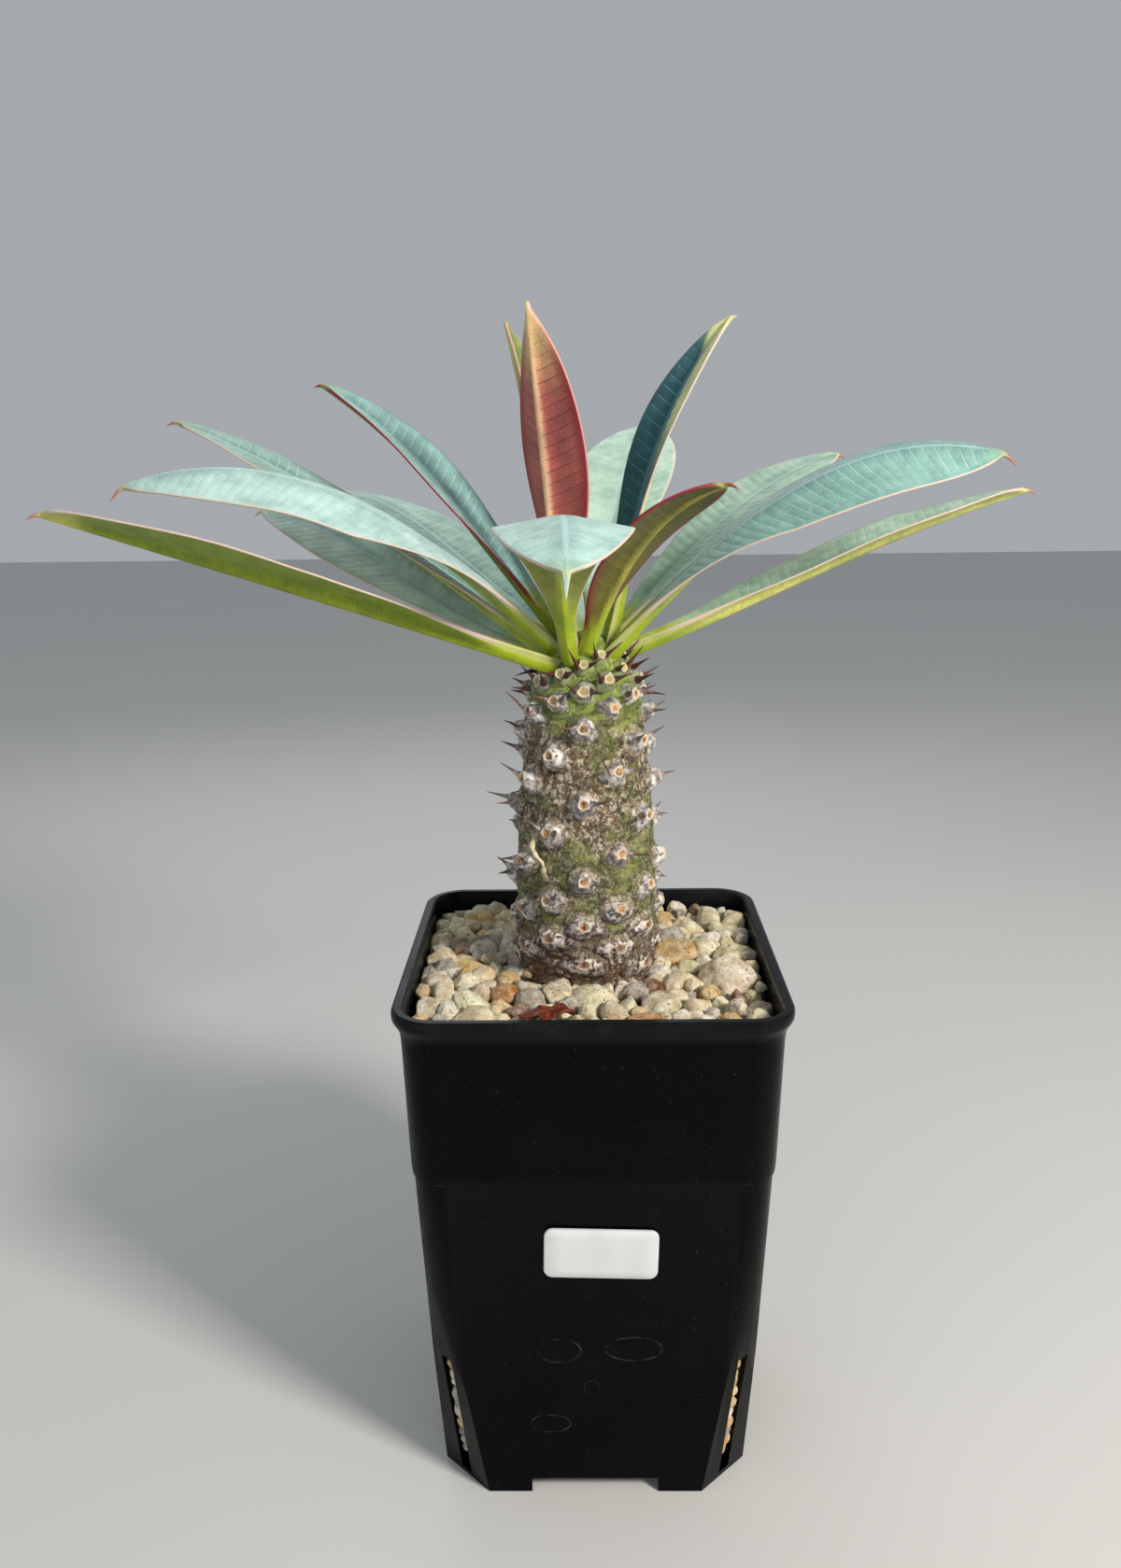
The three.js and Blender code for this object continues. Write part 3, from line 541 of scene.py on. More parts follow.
def cut(piece, tools):
    """Takes the tools out of the piece's mesh."""
    SCENE.collection.objects.link(piece)
    for tool in tools:
        SCENE.collection.objects.link(tool)
        modifier = piece.modifiers.new("cut", "BOOLEAN")
        modifier.operation = "DIFFERENCE"
        modifier.solver = "MANIFOLD"
        modifier.object = tool
        bpy.context.view_layer.update()
        shaped = piece.evaluated_get(bpy.context.evaluated_depsgraph_get())
        mesh = bpy.data.meshes.new_from_object(shaped)
        piece.modifiers.clear()
        piece.data = mesh
        bpy.data.objects.remove(tool)
    SCENE.collection.objects.unlink(piece)


def chamfered(name, rows, inset=0.0):
    """A solid through rounded squares of (height, half-width, corner radius), its lower corners cut off."""
    rings = [[(x, y, height) for x, y in rounded_ring(half, half, radius, POT_CORNER_STEPS)]
             for height, half, radius in rows]
    piece = solid_object(name, *tube(rings, (0, 0, rows[0][0]), (0, 0, rows[-1][0])))
    cut(piece, corner_boxes(*CORNER_BOX, inset))
    return piece


def rows_inside(inset, *heights):
    """Rows of the space inside the pot, drawn in by an inset, from its floor past the step line."""
    return [(height, table_value(POT_OUTSIDE, height) - inset, POT_CORNER_RADIUS - inset)
            for height in (FLOOR_TOP + inset - POT_WALL, *STEP_LINE, *heights)]


def make_pot():
    """The pot, less its hollow, the space under its floor, the foot notches, slits and drain holes."""
    pot = chamfered("pot_shell", [(height, half, POT_CORNER_RADIUS + max(half - OUTSIDE_BELOW_RIM, 0))
                                  for height, half in POT_OUTSIDE])
    mouth = [(height, half, POT_CORNER_RADIUS - POT_WALL + max(half - MOUTH_BELOW_RIM, 0))
             for height, half in POT_MOUTH]
    under = [(height, POT_OUTSIDE[0][1] - FOOT_WALL, POT_CORNER_RADIUS - FOOT_WALL)
             for height in (-1, FLOOR_UNDERSIDE)]
    notch, past, below = FOOT_NOTCH_WIDTH / 2, 50, -2
    tools = [chamfered("tool", [*rows_inside(POT_WALL), *mouth, ABOVE_RIM], POT_WALL),
             chamfered("tool", under, FOOT_WALL),
             box_object((-notch, -past, below), (notch, past, FLOOR_UNDERSIDE)),
             box_object((-past, -notch, below), (past, notch, FLOOR_UNDERSIDE)), *corner_boxes(*SLIT_BOX)]
    for x, y in ((0, 0), (1, 1), (-1, 1), (-1, -1), (1, -1)):
        ends = [np.array([x * DRAIN_OFFSET, y * DRAIN_OFFSET, z]) for z in DRAIN_ENDS]
        rings = [ellipse(end, (1, 0, 0), (0, 1, 0), DRAIN_RADIUS, DRAIN_RADIUS, turns(DRAIN_SIDES))
                 for end in ends]
        tools.append(solid_object("tool", *tube(rings, *ends)))
    cut(pot, tools)
    pot.data.shade_smooth()
    pot.data.set_sharp_from_angle(angle=math.radians(POT_CREASE))
    dress(pot, pot_plastic(), "pot")


def pot_plastic():
    """Satin black plastic with fine dust, a lighter rim that is part dust and part painted highlight, and
    faint dried drops of water low on its front.
    """
    paint = Paint("pot_plastic", 0.07)
    dust = paint.noise(2300, 3, 0.6).span(0.68, 0.75)
    film = paint.noise(45, 4, 0.62).span(0.42, 0.75)
    x, y, z = (paint.node("SeparateXYZ", {0: paint.place}, axis) for axis in range(3))
    drops = 0.0
    for drop_x, drop_z, wide, tall in DRIED_DROPS:
        across = (x - (drop_x * MM + POT_CENTRE[0])) / (wide * MM)
        up = (z - drop_z * MM) / (tall * MM)
        away = (across * across + up * up).maths("SQRT") + paint.noise(120) * 0.3
        drops = abs(away - 1.15).span(0.01, 0.07, 1, 0).maths("MAXIMUM", drops)
    front = y.span(POT_CENTRE[1] - 34 * MM, POT_CENTRE[1] - 30 * MM, 1, 0)
    drops = drops * paint.noise(330, 4, 0.7).span(0.4, 0.62) * front
    # The rim is painted lighter: partly dust, partly a painted highlight along its rolled edge.
    rim = z.span(121 * MM, 125.5 * MM) * film.span(0, 1, 0.2, 0.6)
    base = paint.mix(film, (2, 3, 5), (5, 6, 9)).coat(rim, (44, 46, 49))
    base = base.coat(dust * 0.22, (150, 146, 138)).coat(drops * 0.2, (120, 118, 112))
    grain = paint.bump(paint.noise(1500), 0.03, 0.35)
    wavy = paint.bump(paint.noise(60), 0.25, 0.3, Normal=grain)
    return paint.finish(base, film.span(0, 1, 0.24, 0.38) + dust * 0.3, wavy)


# Gravel


def ball(subdivisions):
    mesh = bmesh.new()
    bmesh.ops.create_icosphere(mesh, subdivisions=subdivisions, radius=1)
    points = np.array([vertex.co for vertex in mesh.verts])
    faces = np.array([[vertex.index for vertex in face.verts] for face in mesh.faces])
    mesh.free()
    return points, faces


def stone(points, radius, random):
    """A broken, worn stone: a ball trimmed by planes with slightly rounded edges, then roughened."""
    total = np.full(len(points), 1.1 ** -STONE_SHARPNESS)
    for _ in range(STONE_PLANES):
        facing = np.maximum(points @ unit(random.normal(size=3)), 0.02)
        total += (random.uniform(0.64, 1.0) / facing) ** -STONE_SHARPNESS
    shape = points * (total ** (-1 / STONE_SHARPNESS))[:, None]
    for amount, scale in ((0.025, 0.8), (0.028, 0.36), (0.018, 0.17)):
        shape *= 1 + amount * waves(points, scale, random.randint(1 << 30))[:, None]
    shape *= np.array([1.2, random.uniform(0.84, 1.08), random.uniform(0.84, 1.02)])
    tilt = (Matrix.Rotation(random.uniform(0, 2 * math.pi), 3, "Z")
            @ Matrix.Rotation(random.normal() * 0.4, 3, "X")
            @ Matrix.Rotation(random.normal() * 0.4, 3, "Y"))
    return shape @ np.array(tilt).T * radius


def spread_stones(places, radius, held):
    """Pushes stones apart until they lie side by side all over the pot's mouth; the held ones stay."""
    for _ in range(SPREAD_ROUNDS):
        apart = places[:, None, :] - places[None, :, :]
        distance = np.linalg.norm(apart, axis=2) + 1e-6
        overlap = np.maximum(1.1 * (radius[:, None] + radius[None, :]) - distance, 0)
        np.fill_diagonal(overlap, 0)
        push = (apart / distance[..., None] * overlap[..., None]).sum(1) * 0.4
        places[held:] += push[held:]
        places[held:] = keep_inside(places[held:], radius[held:])
    return places


def keep_inside(places, radius):
    """Moves stones away from the pot's walls, its rounded corners and the stem."""
    room = (GRAVEL_HALF - 0.9 * radius)[:, None]
    places = np.clip(places, -room, room)
    inner = GRAVEL_HALF - POT_CORNER_RADIUS
    corner = np.maximum(np.abs(places) - inner, 0)
    out = np.hypot(*corner.T)
    room = POT_CORNER_RADIUS - 0.9 * radius
    fix = (out > room) & (corner.min(1) > 0)
    shrunk = np.sign(places) * (inner + corner * (room / np.maximum(out, 1e-6))[:, None])
    places = np.where(fix[:, None], shrunk, places)
    aside = places - STEM_AXIS
    away = np.hypot(*aside.T)[:, None]
    clear = STEM_ROOM + 0.8 * radius[:, None]
    return np.where(away < clear, STEM_AXIS + aside / np.maximum(away, 1e-6) * clear, places)


def drawn_sizes(random, count):
    sizes, shares = zip(*STONE_SIZES)
    return random.choice(sizes, count, p=shares) * random.uniform(0.88, 1.12, count)


def drawn_kinds(random, count):
    return random.choice(list(STONE_KINDS), count, p=[share for share, _ in STONE_KINDS.values()])


def make_gravel():
    """Angular grit: a full top layer, a coarser layer under it, and the stones at the corner slits."""
    random = np.random.RandomState(STONE_SEED)
    big_x, big_y, big_radius, big_kinds = zip(*BIG_STONES)
    radius = np.append(big_radius, drawn_sizes(random, STONE_COUNT))
    places = np.vstack([np.transpose([big_x, big_y]), random.uniform(-40, 40, (STONE_COUNT, 2))])
    places = spread_stones(places, radius, len(BIG_STONES))
    heights = TOP_LEVEL - 0.42 * radius + random.uniform(-1.0, 1.3, len(radius))
    scrap = np.hypot(*(places - SCRAP_MIDDLE[:2]).T)
    heights -= 1.8 * np.exp(-(scrap / SCRAP_CLEARING) ** 4)
    kinds = [*big_kinds, *drawn_kinds(random, STONE_COUNT)]
    fine, coarse = ball(4), ball(3)
    groups = {"gravel_front": [], "gravel_back": [], "gravel_lower": []}
    for (x, y), z, size, kind in zip(places, heights, radius, kinds):
        form = fine if size > FINE_FROM else coarse
        group = "gravel_front" if y < 0 else "gravel_back"
        groups[group].append((stone(form[0], size, random) + (x, y, z), form[1], kind))
    radius = drawn_sizes(random, LOWER_COUNT) * 1.1
    places = spread_stones(random.uniform(-40, 40, (LOWER_COUNT, 2)), radius, 0)
    for (x, y), size, kind in zip(places, radius, drawn_kinds(random, LOWER_COUNT)):
        at = (x, y, LOWER_LEVEL + random.uniform(-0.6, 0.9))
        groups["gravel_lower"].append((stone(coarse[0], size, random) + at, coarse[1], kind))
    groups["gravel_lower"] += slit_stones(coarse, random)
    surface = stone_surface()
    for name, stones in groups.items():
        add_stones(name, stones, surface, random)
    make_bed()


def slit_stones(form, random):
    """The stones that show in the slits of the pot's lower corners."""
    stones = []
    for corner in range(4):
        angle = (corner + 0.5) * math.pi / 2
        turn = np.array(Matrix.Rotation(angle, 3, "Z"))
        for height in np.arange(SLIT_STONES_FROM, SLIT_BOX[-1] - 0.6, SLIT_STONES_PITCH):
            distance = CHAMFER_DISTANCE + CHAMFER_LEAN * height - POT_WALL - random.uniform(1.0, 1.6)
            shape = stone(form[0], SLIT_STONE, random) @ turn
            shape = np.clip(shape, -SLIT_STONE_ROOM, SLIT_STONE_ROOM) @ turn.T
            at = (distance * math.cos(angle), distance * math.sin(angle), height)
            stones.append((shape + at, form[1], random.choice(["cream", "tan", "pale", "cream", "grey"])))
    return stones


def add_stones(name, stones, surface, random):
    """Adds stones as one piece, each with a tint of its own, darkened low down by painted shade between the
    stones.
    """
    points, faces, tints = [], [], []
    count = 0
    for shape, cells, kind in stones:
        tint = colour(STONE_KINDS[kind][1]) * random.uniform(0.9, 1.2) * random.uniform(0.97, 1.03, 3)
        height = shape[:, 2]
        # Painted shade: the lower a point of a top stone lies, the darker its tint.
        painted_shade = np.where(height > 100, 0.13 + 0.87 * smooth(height, *PAINTED_SHADE_BETWEEN), 1)
        points.append(shape)
        faces.extend((cells + count).tolist())
        tints.append(np.clip(tint, 0, 1)[None, :] * painted_shade[:, None])
        count += len(shape)
    node = "gravel" if name == "gravel_front" else None
    add_piece(name, (np.vstack(points), faces), surface, node, tints=np.vstack(tints))


def make_bed():
    """The mix under the top stones, which shows between them and in the drain holes."""
    inset = POT_WALL + GAP
    paint = Paint("bed_mix")
    grains = paint.cells(330)
    base = paint.mix(grains.span(0.1, 0.9), (96, 82, 62), (28, 23, 18))
    dress(chamfered("gravel_bed", rows_inside(inset, BED_LEVEL), inset),
          paint.finish(base, 0.95, paint.bump(grains, -0.8)))


def stone_surface():
    """Porous grit: the stone's own tint, clouds of it, dark grains and pores."""
    paint = Paint("stone_surface", 0.25)
    tint = paint.tint()
    grains = paint.noise(1250, 3, 0.6).span(0.58, 0.66) * paint.noise(260).span(0.4, 0.62, 0.25, 1)
    pores = paint.cells(1500).span(0.06, 0.3, 1, 0) * paint.noise(620, 3).span(0.48, 0.62)
    deep = paint.mix(0.85, tint, (212, 197, 174), "MULTIPLY")
    base = deep.coat(paint.noise(380, 4, 0.62).span(0.32, 0.68), tint.coat(0.32, (255, 250, 238)))
    base = base.coat(grains * 0.85, (60, 53, 45)).coat(pores * 0.6, (66, 54, 42))
    return paint.finish(base, 0.95, paint.bump(paint.noise(1300, 6, 0.72) - pores * 0.9, 0.9))


# Stem


def spiral_place(place):
    """The angle, the stem's radius and the height at a place in the spiral."""
    height = float(table_value(SPIRAL_HEIGHTS, place))
    angle = math.radians(SPIRAL_START + SPIRAL_TURN * place)
    return angle, float(table_value(CAD_PROFILE, height)), height


def on_stem(angle, radius, height):
    return np.array([*(STEM_AXIS + (radius * math.cos(angle), radius * math.sin(angle))), height])


def scars(last=LAST_SCAR):
    """Each place without a leaf, with its angle, radius and height, and how worn and young it is."""
    for place in range(FIRST_SCAR, last + 1):
        if place not in [leaf.place for leaf in LEAVES]:
            worn, young = smooth(place, *WORN_BETWEEN), 1 - smooth(place, FIRST_SCAR, YOUNG_UNTIL)
            yield place, *spiral_place(place), float(worn), float(young)


def sized(table, worn, young):
    """The sizes in a table, each changed by its own shares of wear and youth."""
    return [size * (1 + by_wear * worn) * (1 + by_youth * young) for size, by_wear, by_youth in table]


def stem_skin_field(angle, height):
    """How far the skin stands out, and how close each point is to a tubercle."""
    lift = np.zeros_like(angle)
    near = np.full_like(angle, 9.0)
    radius = table_value(STEM_PROFILE, height)
    for _, at, _, level, worn, young in scars():
        wide, tall, proud = sized(SWELLING, worn, young)
        across = np.angle(np.exp(1j * (angle - at))) * radius
        distance = np.sqrt((across / wide) ** 2 + ((height - level - 0.4) / tall) ** 2)
        lift = np.maximum(lift, proud * np.clip(1.25 - distance, 0, 1) ** 1.5)
        near = np.minimum(near, distance)
    return lift, near


def make_stem():
    """The skin with its swellings, layers of bark at the foot, cracks, pits and a closed crown."""
    heights = np.arange(SKIN_FROM, SKIN_TO, SKIN_STEPS)
    height, angle = (grid.ravel() for grid in np.meshgrid(heights, turns(SKIN_COLUMNS), indexing="ij"))
    lift, near = stem_skin_field(angle, height)
    body = table_value(STEM_PROFILE, height) * (1 + 0.015 * np.cos(2 * angle + 1))
    flat = np.column_stack([body * np.cos(angle), body * np.sin(angle), height])
    base = 1 - smooth(height, *BARK_BETWEEN)
    crown = smooth(height, *CROWN_BETWEEN)
    layered = waves(flat * (0.5, 0.5, 1.6), 5, 25)
    layers = np.sin(height * 1.9 + 2.4 * waves(flat, 11, 21)) * 0.3 * base
    layers += 0.45 * smooth(layered, -0.1, 0.15) * base
    cracks = -0.5 * (1 - smooth(np.abs(waves(flat * (1, 1, 1.7), 6.5, 22)), 0.0, 0.16)) * (1 - crown)
    cracks *= smooth(near, 0.95, 1.3) * (0.35 + 0.65 * base)
    pits = 0.16 * waves(flat, 2.2, 23) * (0.5 + base) + 0.1 * waves(flat, 1.1, 24)
    collar = -0.35 * np.exp(-((near - 1.17) / 0.07) ** 2) * (1 - 0.5 * crown)
    reach = body + lift + layers + cracks + pits * (1 - 0.6 * crown) + collar
    reach *= smooth(206.6 - height, 0, 1.2) * 0.35 + 0.65
    skin = np.column_stack([reach * np.cos(angle), reach * np.sin(angle), height]) + (*STEM_AXIS, 0)
    shape = tube(skin.reshape(len(heights), SKIN_COLUMNS, 3), (*STEM_AXIS, SKIN_FROM), (*STEM_AXIS, SKIN_TOP))
    cork = 0.15 * smooth(height, *CORK_FROM) * (1 - smooth(height, *CORK_TO)) - 0.05 * np.cos(angle) - 0.02
    numbers = {"near": near, "base": base, "crown": crown, "crack": -cracks * 2, "cork": cork,
               "layer": smooth(layered, -0.25, 0.2)}
    add_piece("stem_skin", shape, stem_bark(), "stem",
              {key: np.append(values, [0, 0]) for key, values in numbers.items()})


def stem_bark():
    """Green skin with fine pale hairs under purple-brown cork and silvery flakes; bark at the foot."""
    paint = Paint("stem_bark", 0.3)
    near, base, crown, crack, cork, layer = paint.numbers("near", "base", "crown", "crack", "cork", "layer")
    flakes = paint.noise(640, 7, 0.74, 0.6)
    green = paint.mix(paint.noise(150, 3).span(0.3, 0.7), (30, 42, 10), (116, 124, 46))
    fresh = paint.mix(paint.noise(170, 3).span(0.32, 0.68), (62, 96, 26), (158, 176, 78))
    brown = paint.mix(paint.noise(330, 4, 0.6).span(0.36, 0.68), (22, 11, 12), (112, 74, 56))
    silver = paint.mix(paint.noise(1000, 4, 0.7), (134, 120, 108), (250, 238, 220))
    browned = (paint.noise(88, 5, 0.62, 0.5) + cork).span(0.5, 0.6) + near.span(0.95, 1.3, 0.6, 0)
    browned = browned * crown.span(0.1, 0.9, 1, 0.08)
    corky = flakes.span(0.51, 0.56) + near.span(0.85, 1.15, 0.2, 0)
    corky = corky * (browned * 0.68 + 0.32) * crown.span(0.1, 0.9, 0.9, 0.15)
    bark = paint.noise(520, 5, 0.72, 0.6, (1.5, 1.5, 0.6)).span(0.48, 0.59) * (layer * 0.95)
    maroon = paint.mix(paint.noise(160, 3), (26, 8, 9), (94, 28, 24))
    maroon = maroon.coat(paint.noise(150).span(0.62, 0.7, 0, 0.5), (134, 38, 26))
    strand = abs(paint.noise(900, 2, 0.5, 2.4) - 0.5).span(0.0, 0.026, 1, 0)
    finer = abs(paint.noise(1400, 2, 0.5, 2.0, (1, 1, 0.5)) - 0.48).span(0.0, 0.03, 0.8, 0)
    hairs = strand.maths("MAXIMUM", finer) * crown.span(0, 1, 0.56, 0.26)
    collar = abs(near - 1.1).span(0.0, 0.07, 0.7, 0) * crown.span(0.1, 0.8, 1, 0.1)
    surface = green.coat(crown, fresh).coat(browned.maths("MAXIMUM", base), brown).coat(corky, silver)
    surface = surface.coat(base, maroon.coat(bark, silver)).coat(hairs, (228, 220, 172))
    surface = surface.coat(crack * 0.9, (26, 12, 12)).coat(collar * paint.noise(300, 3), (34, 16, 16))
    height = flakes + paint.noise(1500, 4, 0.6) + bark * 0.8
    return paint.finish(surface, corky.span(0, 1, 0.58, 0.88), paint.bump(height, 0.55))


def tubercles():
    """Each tubercle's cone with the round scar of its leaf, open at its sunken foot."""
    random = np.random.RandomState(TUBERCLE_SEED)
    turned = turns(TUBERCLE_SIDES)
    rings = len(TUBERCLE_OUTLINE)
    inner = [(rings - 1) * TUBERCLE_SIDES + column for column in range(TUBERCLE_SIDES)]
    faces = grid_faces(rings, TUBERCLE_SIDES, True)
    faces += [(a, b, rings * TUBERCLE_SIDES) for a, b in zip(inner, inner[1:] + inner[:1])]
    out = [*np.repeat([share for share, _ in TUBERCLE_OUTLINE], TUBERCLE_SIDES), 0]
    for place, angle, radius, height, worn, young in scars():
        foot, proud = sized(TUBERCLE_SIZES, worn, young)
        forward = direction(math.degrees(angle), 8 + 24 * young + random.normal() * 3)
        side = np.array([-math.sin(angle), math.cos(angle), 0])
        up = np.cross(forward, side)
        seat = on_stem(angle, radius, height)
        lumps = 1 + 0.08 * np.cos(3 * turned + random.uniform(0, 6))
        lumps += 0.06 * np.cos(5 * turned + random.uniform(0, 6))
        points = []
        for share, rise in TUBERCLE_OUTLINE:
            wide = (TUBERCLE_RIM + (share - TUBERCLE_RIM) * (1 + 0.35 * worn)) * foot * (1 + 0.22 * worn)
            tall = share * foot * (1 - 0.24 * worn)
            rough = 1 if share < SCAR_SHARE else lumps
            middle = seat + (forward + 0.25 * up) * rise * proud
            points.extend(ellipse(middle, side, up, wide * rough, tall * rough, turned))
        points.append(seat + up * 0.7 * proud + forward * 2.7 * proud)
        yield points, faces, {"out": out, "fresh": 1 - smooth(place, -24, -2), "old": worn,
                              "warm": random.uniform(0.1, 1) * (1 - 0.75 * worn)}


def tubercle_skin():
    """Grey corky cone with a pale edge around its small scar; green when young, bark-like when old."""
    paint = Paint("tubercle_skin", 0.3)
    out, fresh, old, warm = paint.numbers("out", "fresh", "old", "warm")
    flakes = paint.noise(620, 6, 0.7, 0.5)
    aged = paint.mix(flakes.span(0.42, 0.58), (60, 38, 36), (216, 205, 194))
    green = paint.mix(paint.noise(420, 3), (84, 106, 44), (148, 160, 88))
    ring = abs(out - TUBERCLE_RIM).span(0.02, 0.09, 0.7, 0) * fresh
    rim = out.span(0.5, 0.42) * flakes.span(0.4, 0.55) * 0.6
    cork = paint.mix(flakes.span(0.36, 0.62), (92, 86, 92), (228, 222, 216))
    cork = cork.coat(paint.noise(190).span(0.5, 0.62, 0, 0.6), (92, 84, 92)).coat(old, aged)
    cone = cork.coat(fresh * 0.85, green).coat(out.span(0.66, 1.0, 0, 0.75), (46, 29, 27))
    cone = cone.coat(ring, (84, 46, 40)).coat(rim, (214, 202, 184))
    scar = paint.mix(warm, (122, 96, 84), (204, 152, 98))
    scar = scar.coat(paint.noise(900, 3).span(0.47, 0.6, 0, 0.9), (92, 50, 34))
    scar = scar.coat(fresh * 0.75, paint.mix(flakes, (120, 96, 56), (204, 206, 132)))
    scar = scar.coat(out.span(0.18, 0.3, 0, 0.65) * old.span(0, 1, 1, 0.2), (228, 212, 178))
    return paint.finish(cone.coat(out.span(0.35, 0.31), scar), 0.75, paint.bump(flakes, 0.35, 0.9))


def spines():
    """A pair of horn-like spines on the upper sides of each tubercle, many of them broken short."""
    random = np.random.RandomState(SPINE_SEED)
    shares = np.linspace(0, 1, SPINE_RINGS)
    for place, angle, radius, height, _, young in scars(SPINES_TO):
        heading = math.degrees(angle)
        for turn in (-1, 1):
            whole = random.uniform() > 0.75 * float(smooth(place, -6, 34))
            if whole:
                length = (SPINE_LENGTH - 0.4 * young) * random.uniform(0.8, 1.25)
            else:
                length = random.uniform(*SPINE_BROKEN)
            rise = random.uniform(-12, 40) + 24 * young
            forward = direction(heading + turn * random.uniform(34, 54), rise)
            bend = direction(heading, random.uniform(10, 80)) * random.uniform(-0.12, 0.22) * length
            seat = on_stem(angle + turn * 1.25 / radius, radius + 1.7 * (1 - 0.3 * young), height + 0.9)
            side = unit(np.cross(forward, (0, 0, 1)))
            up = np.cross(side, forward)
            horn, stout = 1.25 - 0.8 * young, 0.42 - 0.1 * young
            rings = []
            for share in shares:
                middle = seat + forward * (share * (length + SPINE_SUNK) - SPINE_SUNK) + bend * share * share
                thick = horn * (1 - share) ** 3 + stout * (1 - share) ** 0.8 + 0.06
                rings.append(ellipse(middle, side, up, thick, thick, turns(SPINE_SIDES)))
            along = np.array([*np.repeat(shares, SPINE_SIDES), 0, 1]) * (1 if whole else 0.5)
            yield *tube(rings, seat - forward * 1.4, seat + forward * (length + 0.1) + bend), {
                "along": along, "fresh": 1 - smooth(place, -18, 2)}


def spine_horn():
    """Grey horn with a dark point; dark red when young."""
    paint = Paint("spine", 0.45)
    along, fresh = paint.numbers("along", "fresh")
    mottle = paint.noise(800, 4, 0.6)
    base = paint.mix(mottle.span(0.4, 0.6), (104, 92, 92), (182, 170, 162))
    base = base.coat(along.span(0.35, 0.7), paint.mix(mottle, (120, 96, 82), (78, 56, 50)))
    base = base.coat(fresh, paint.mix(mottle, (54, 22, 26), (92, 42, 42)))
    return paint.finish(base.coat(along.span(0.7, 1, 0, 0.8), (40, 26, 28)), 0.5, paint.bump(mottle, 0.15))


def thread():
    """The dry curled thread on the left of the stem."""
    route = catmull(np.array(THREAD_POINTS), np.linspace(0, len(THREAD_POINTS) - 1, THREAD_RINGS))
    way = unit(np.gradient(route, axis=0))
    side = unit(np.cross(way, (0, 0, 1)))
    up = np.cross(side, way)
    rings = []
    for row in range(THREAD_RINGS):
        wide = THREAD_RADIUS * (1 - 0.2 * row / (THREAD_RINGS - 1)) * (1 + 0.2 * math.sin(row * 0.9))
        turned = turns(THREAD_SIDES) + row * 0.12
        rings.append(ellipse(route[row], side[row], up[row], wide, 0.7 * wide, turned))
    return tube(rings, route[0], route[-1])


def thread_fibre():
    paint = Paint("dry_thread")
    fibres = paint.noise(900, 3, 0.6)
    return paint.finish(paint.mix(fibres, (166, 150, 116), (230, 218, 184)), 0.8, paint.bump(fibres, 0.15))


def catmull(knots, spread):
    """A smooth curve through knots, read at fractional positions."""
    index = np.clip(spread.astype(int), 0, len(knots) - 2)
    share = (spread - index)[:, None]
    padded = np.concatenate([[2 * knots[0] - knots[1]], knots, [2 * knots[-1] - knots[-2]]])
    a, b, c, d = (padded[index + step] for step in range(4))
    return 0.5 * (2 * b + (c - a) * share + (2 * a - 5 * b + 4 * c - d) * share ** 2
                  + (3 * b - a - 3 * c + d) * share ** 3)


# Leaves


def midrib(leaf):
    """Points and tangents along a leaf's midrib at even steps, and its length."""
    leaving = direction(*leaf.leave)
    root = on_stem(*spiral_place(leaf.place)) - leaving * ROOT_SUNK
    tip = root + direction(leaf.heading, leaf.rise) * leaf.chord
    pull = leaf.chord * MIDRIB_PULL
    after, before = root + leaving * pull, tip - direction(*leaf.arrive) * pull

    def at(share):
        rest = 1 - share
        return (rest ** 3 * root + 3 * rest ** 2 * share * after + 3 * rest * share ** 2 * before
                + share ** 3 * tip)

    even = np.linspace(0, 1, MIDRIB_STEPS)[:, None]
    steps = np.linalg.norm(np.diff(at(even), axis=0), axis=1)
    run = np.concatenate([[0], np.cumsum(steps)])
    share = np.interp(np.linspace(0, run[-1], LEAF_ROWS), run, even[:, 0])[:, None]
    tangent = (3 * (1 - share) ** 2 * (after - root) + 6 * (1 - share) * share * (before - after)
               + 3 * share ** 2 * (tip - before))
    return at(share), unit(tangent), run[-1]


def by_age(leaf, pair):
    return pair[0] + (pair[1] - pair[0]) * min(max((leaf.place - YOUNGEST) / (GROWN - YOUNGEST), 0), 1)


def half_width(leaf, along):
    def outline(share):
        return share ** BLADE_RISE * (1 - share) ** leaf.taper
    blade = np.maximum((along - BLADE_FROM) / (1 - BLADE_FROM), 0)
    shape = outline(blade) / outline(BLADE_RISE / (BLADE_RISE + leaf.taper))
    return np.hypot(by_age(leaf, STALK_HALF) * (1 - 0.75 * along), leaf.half * shape)


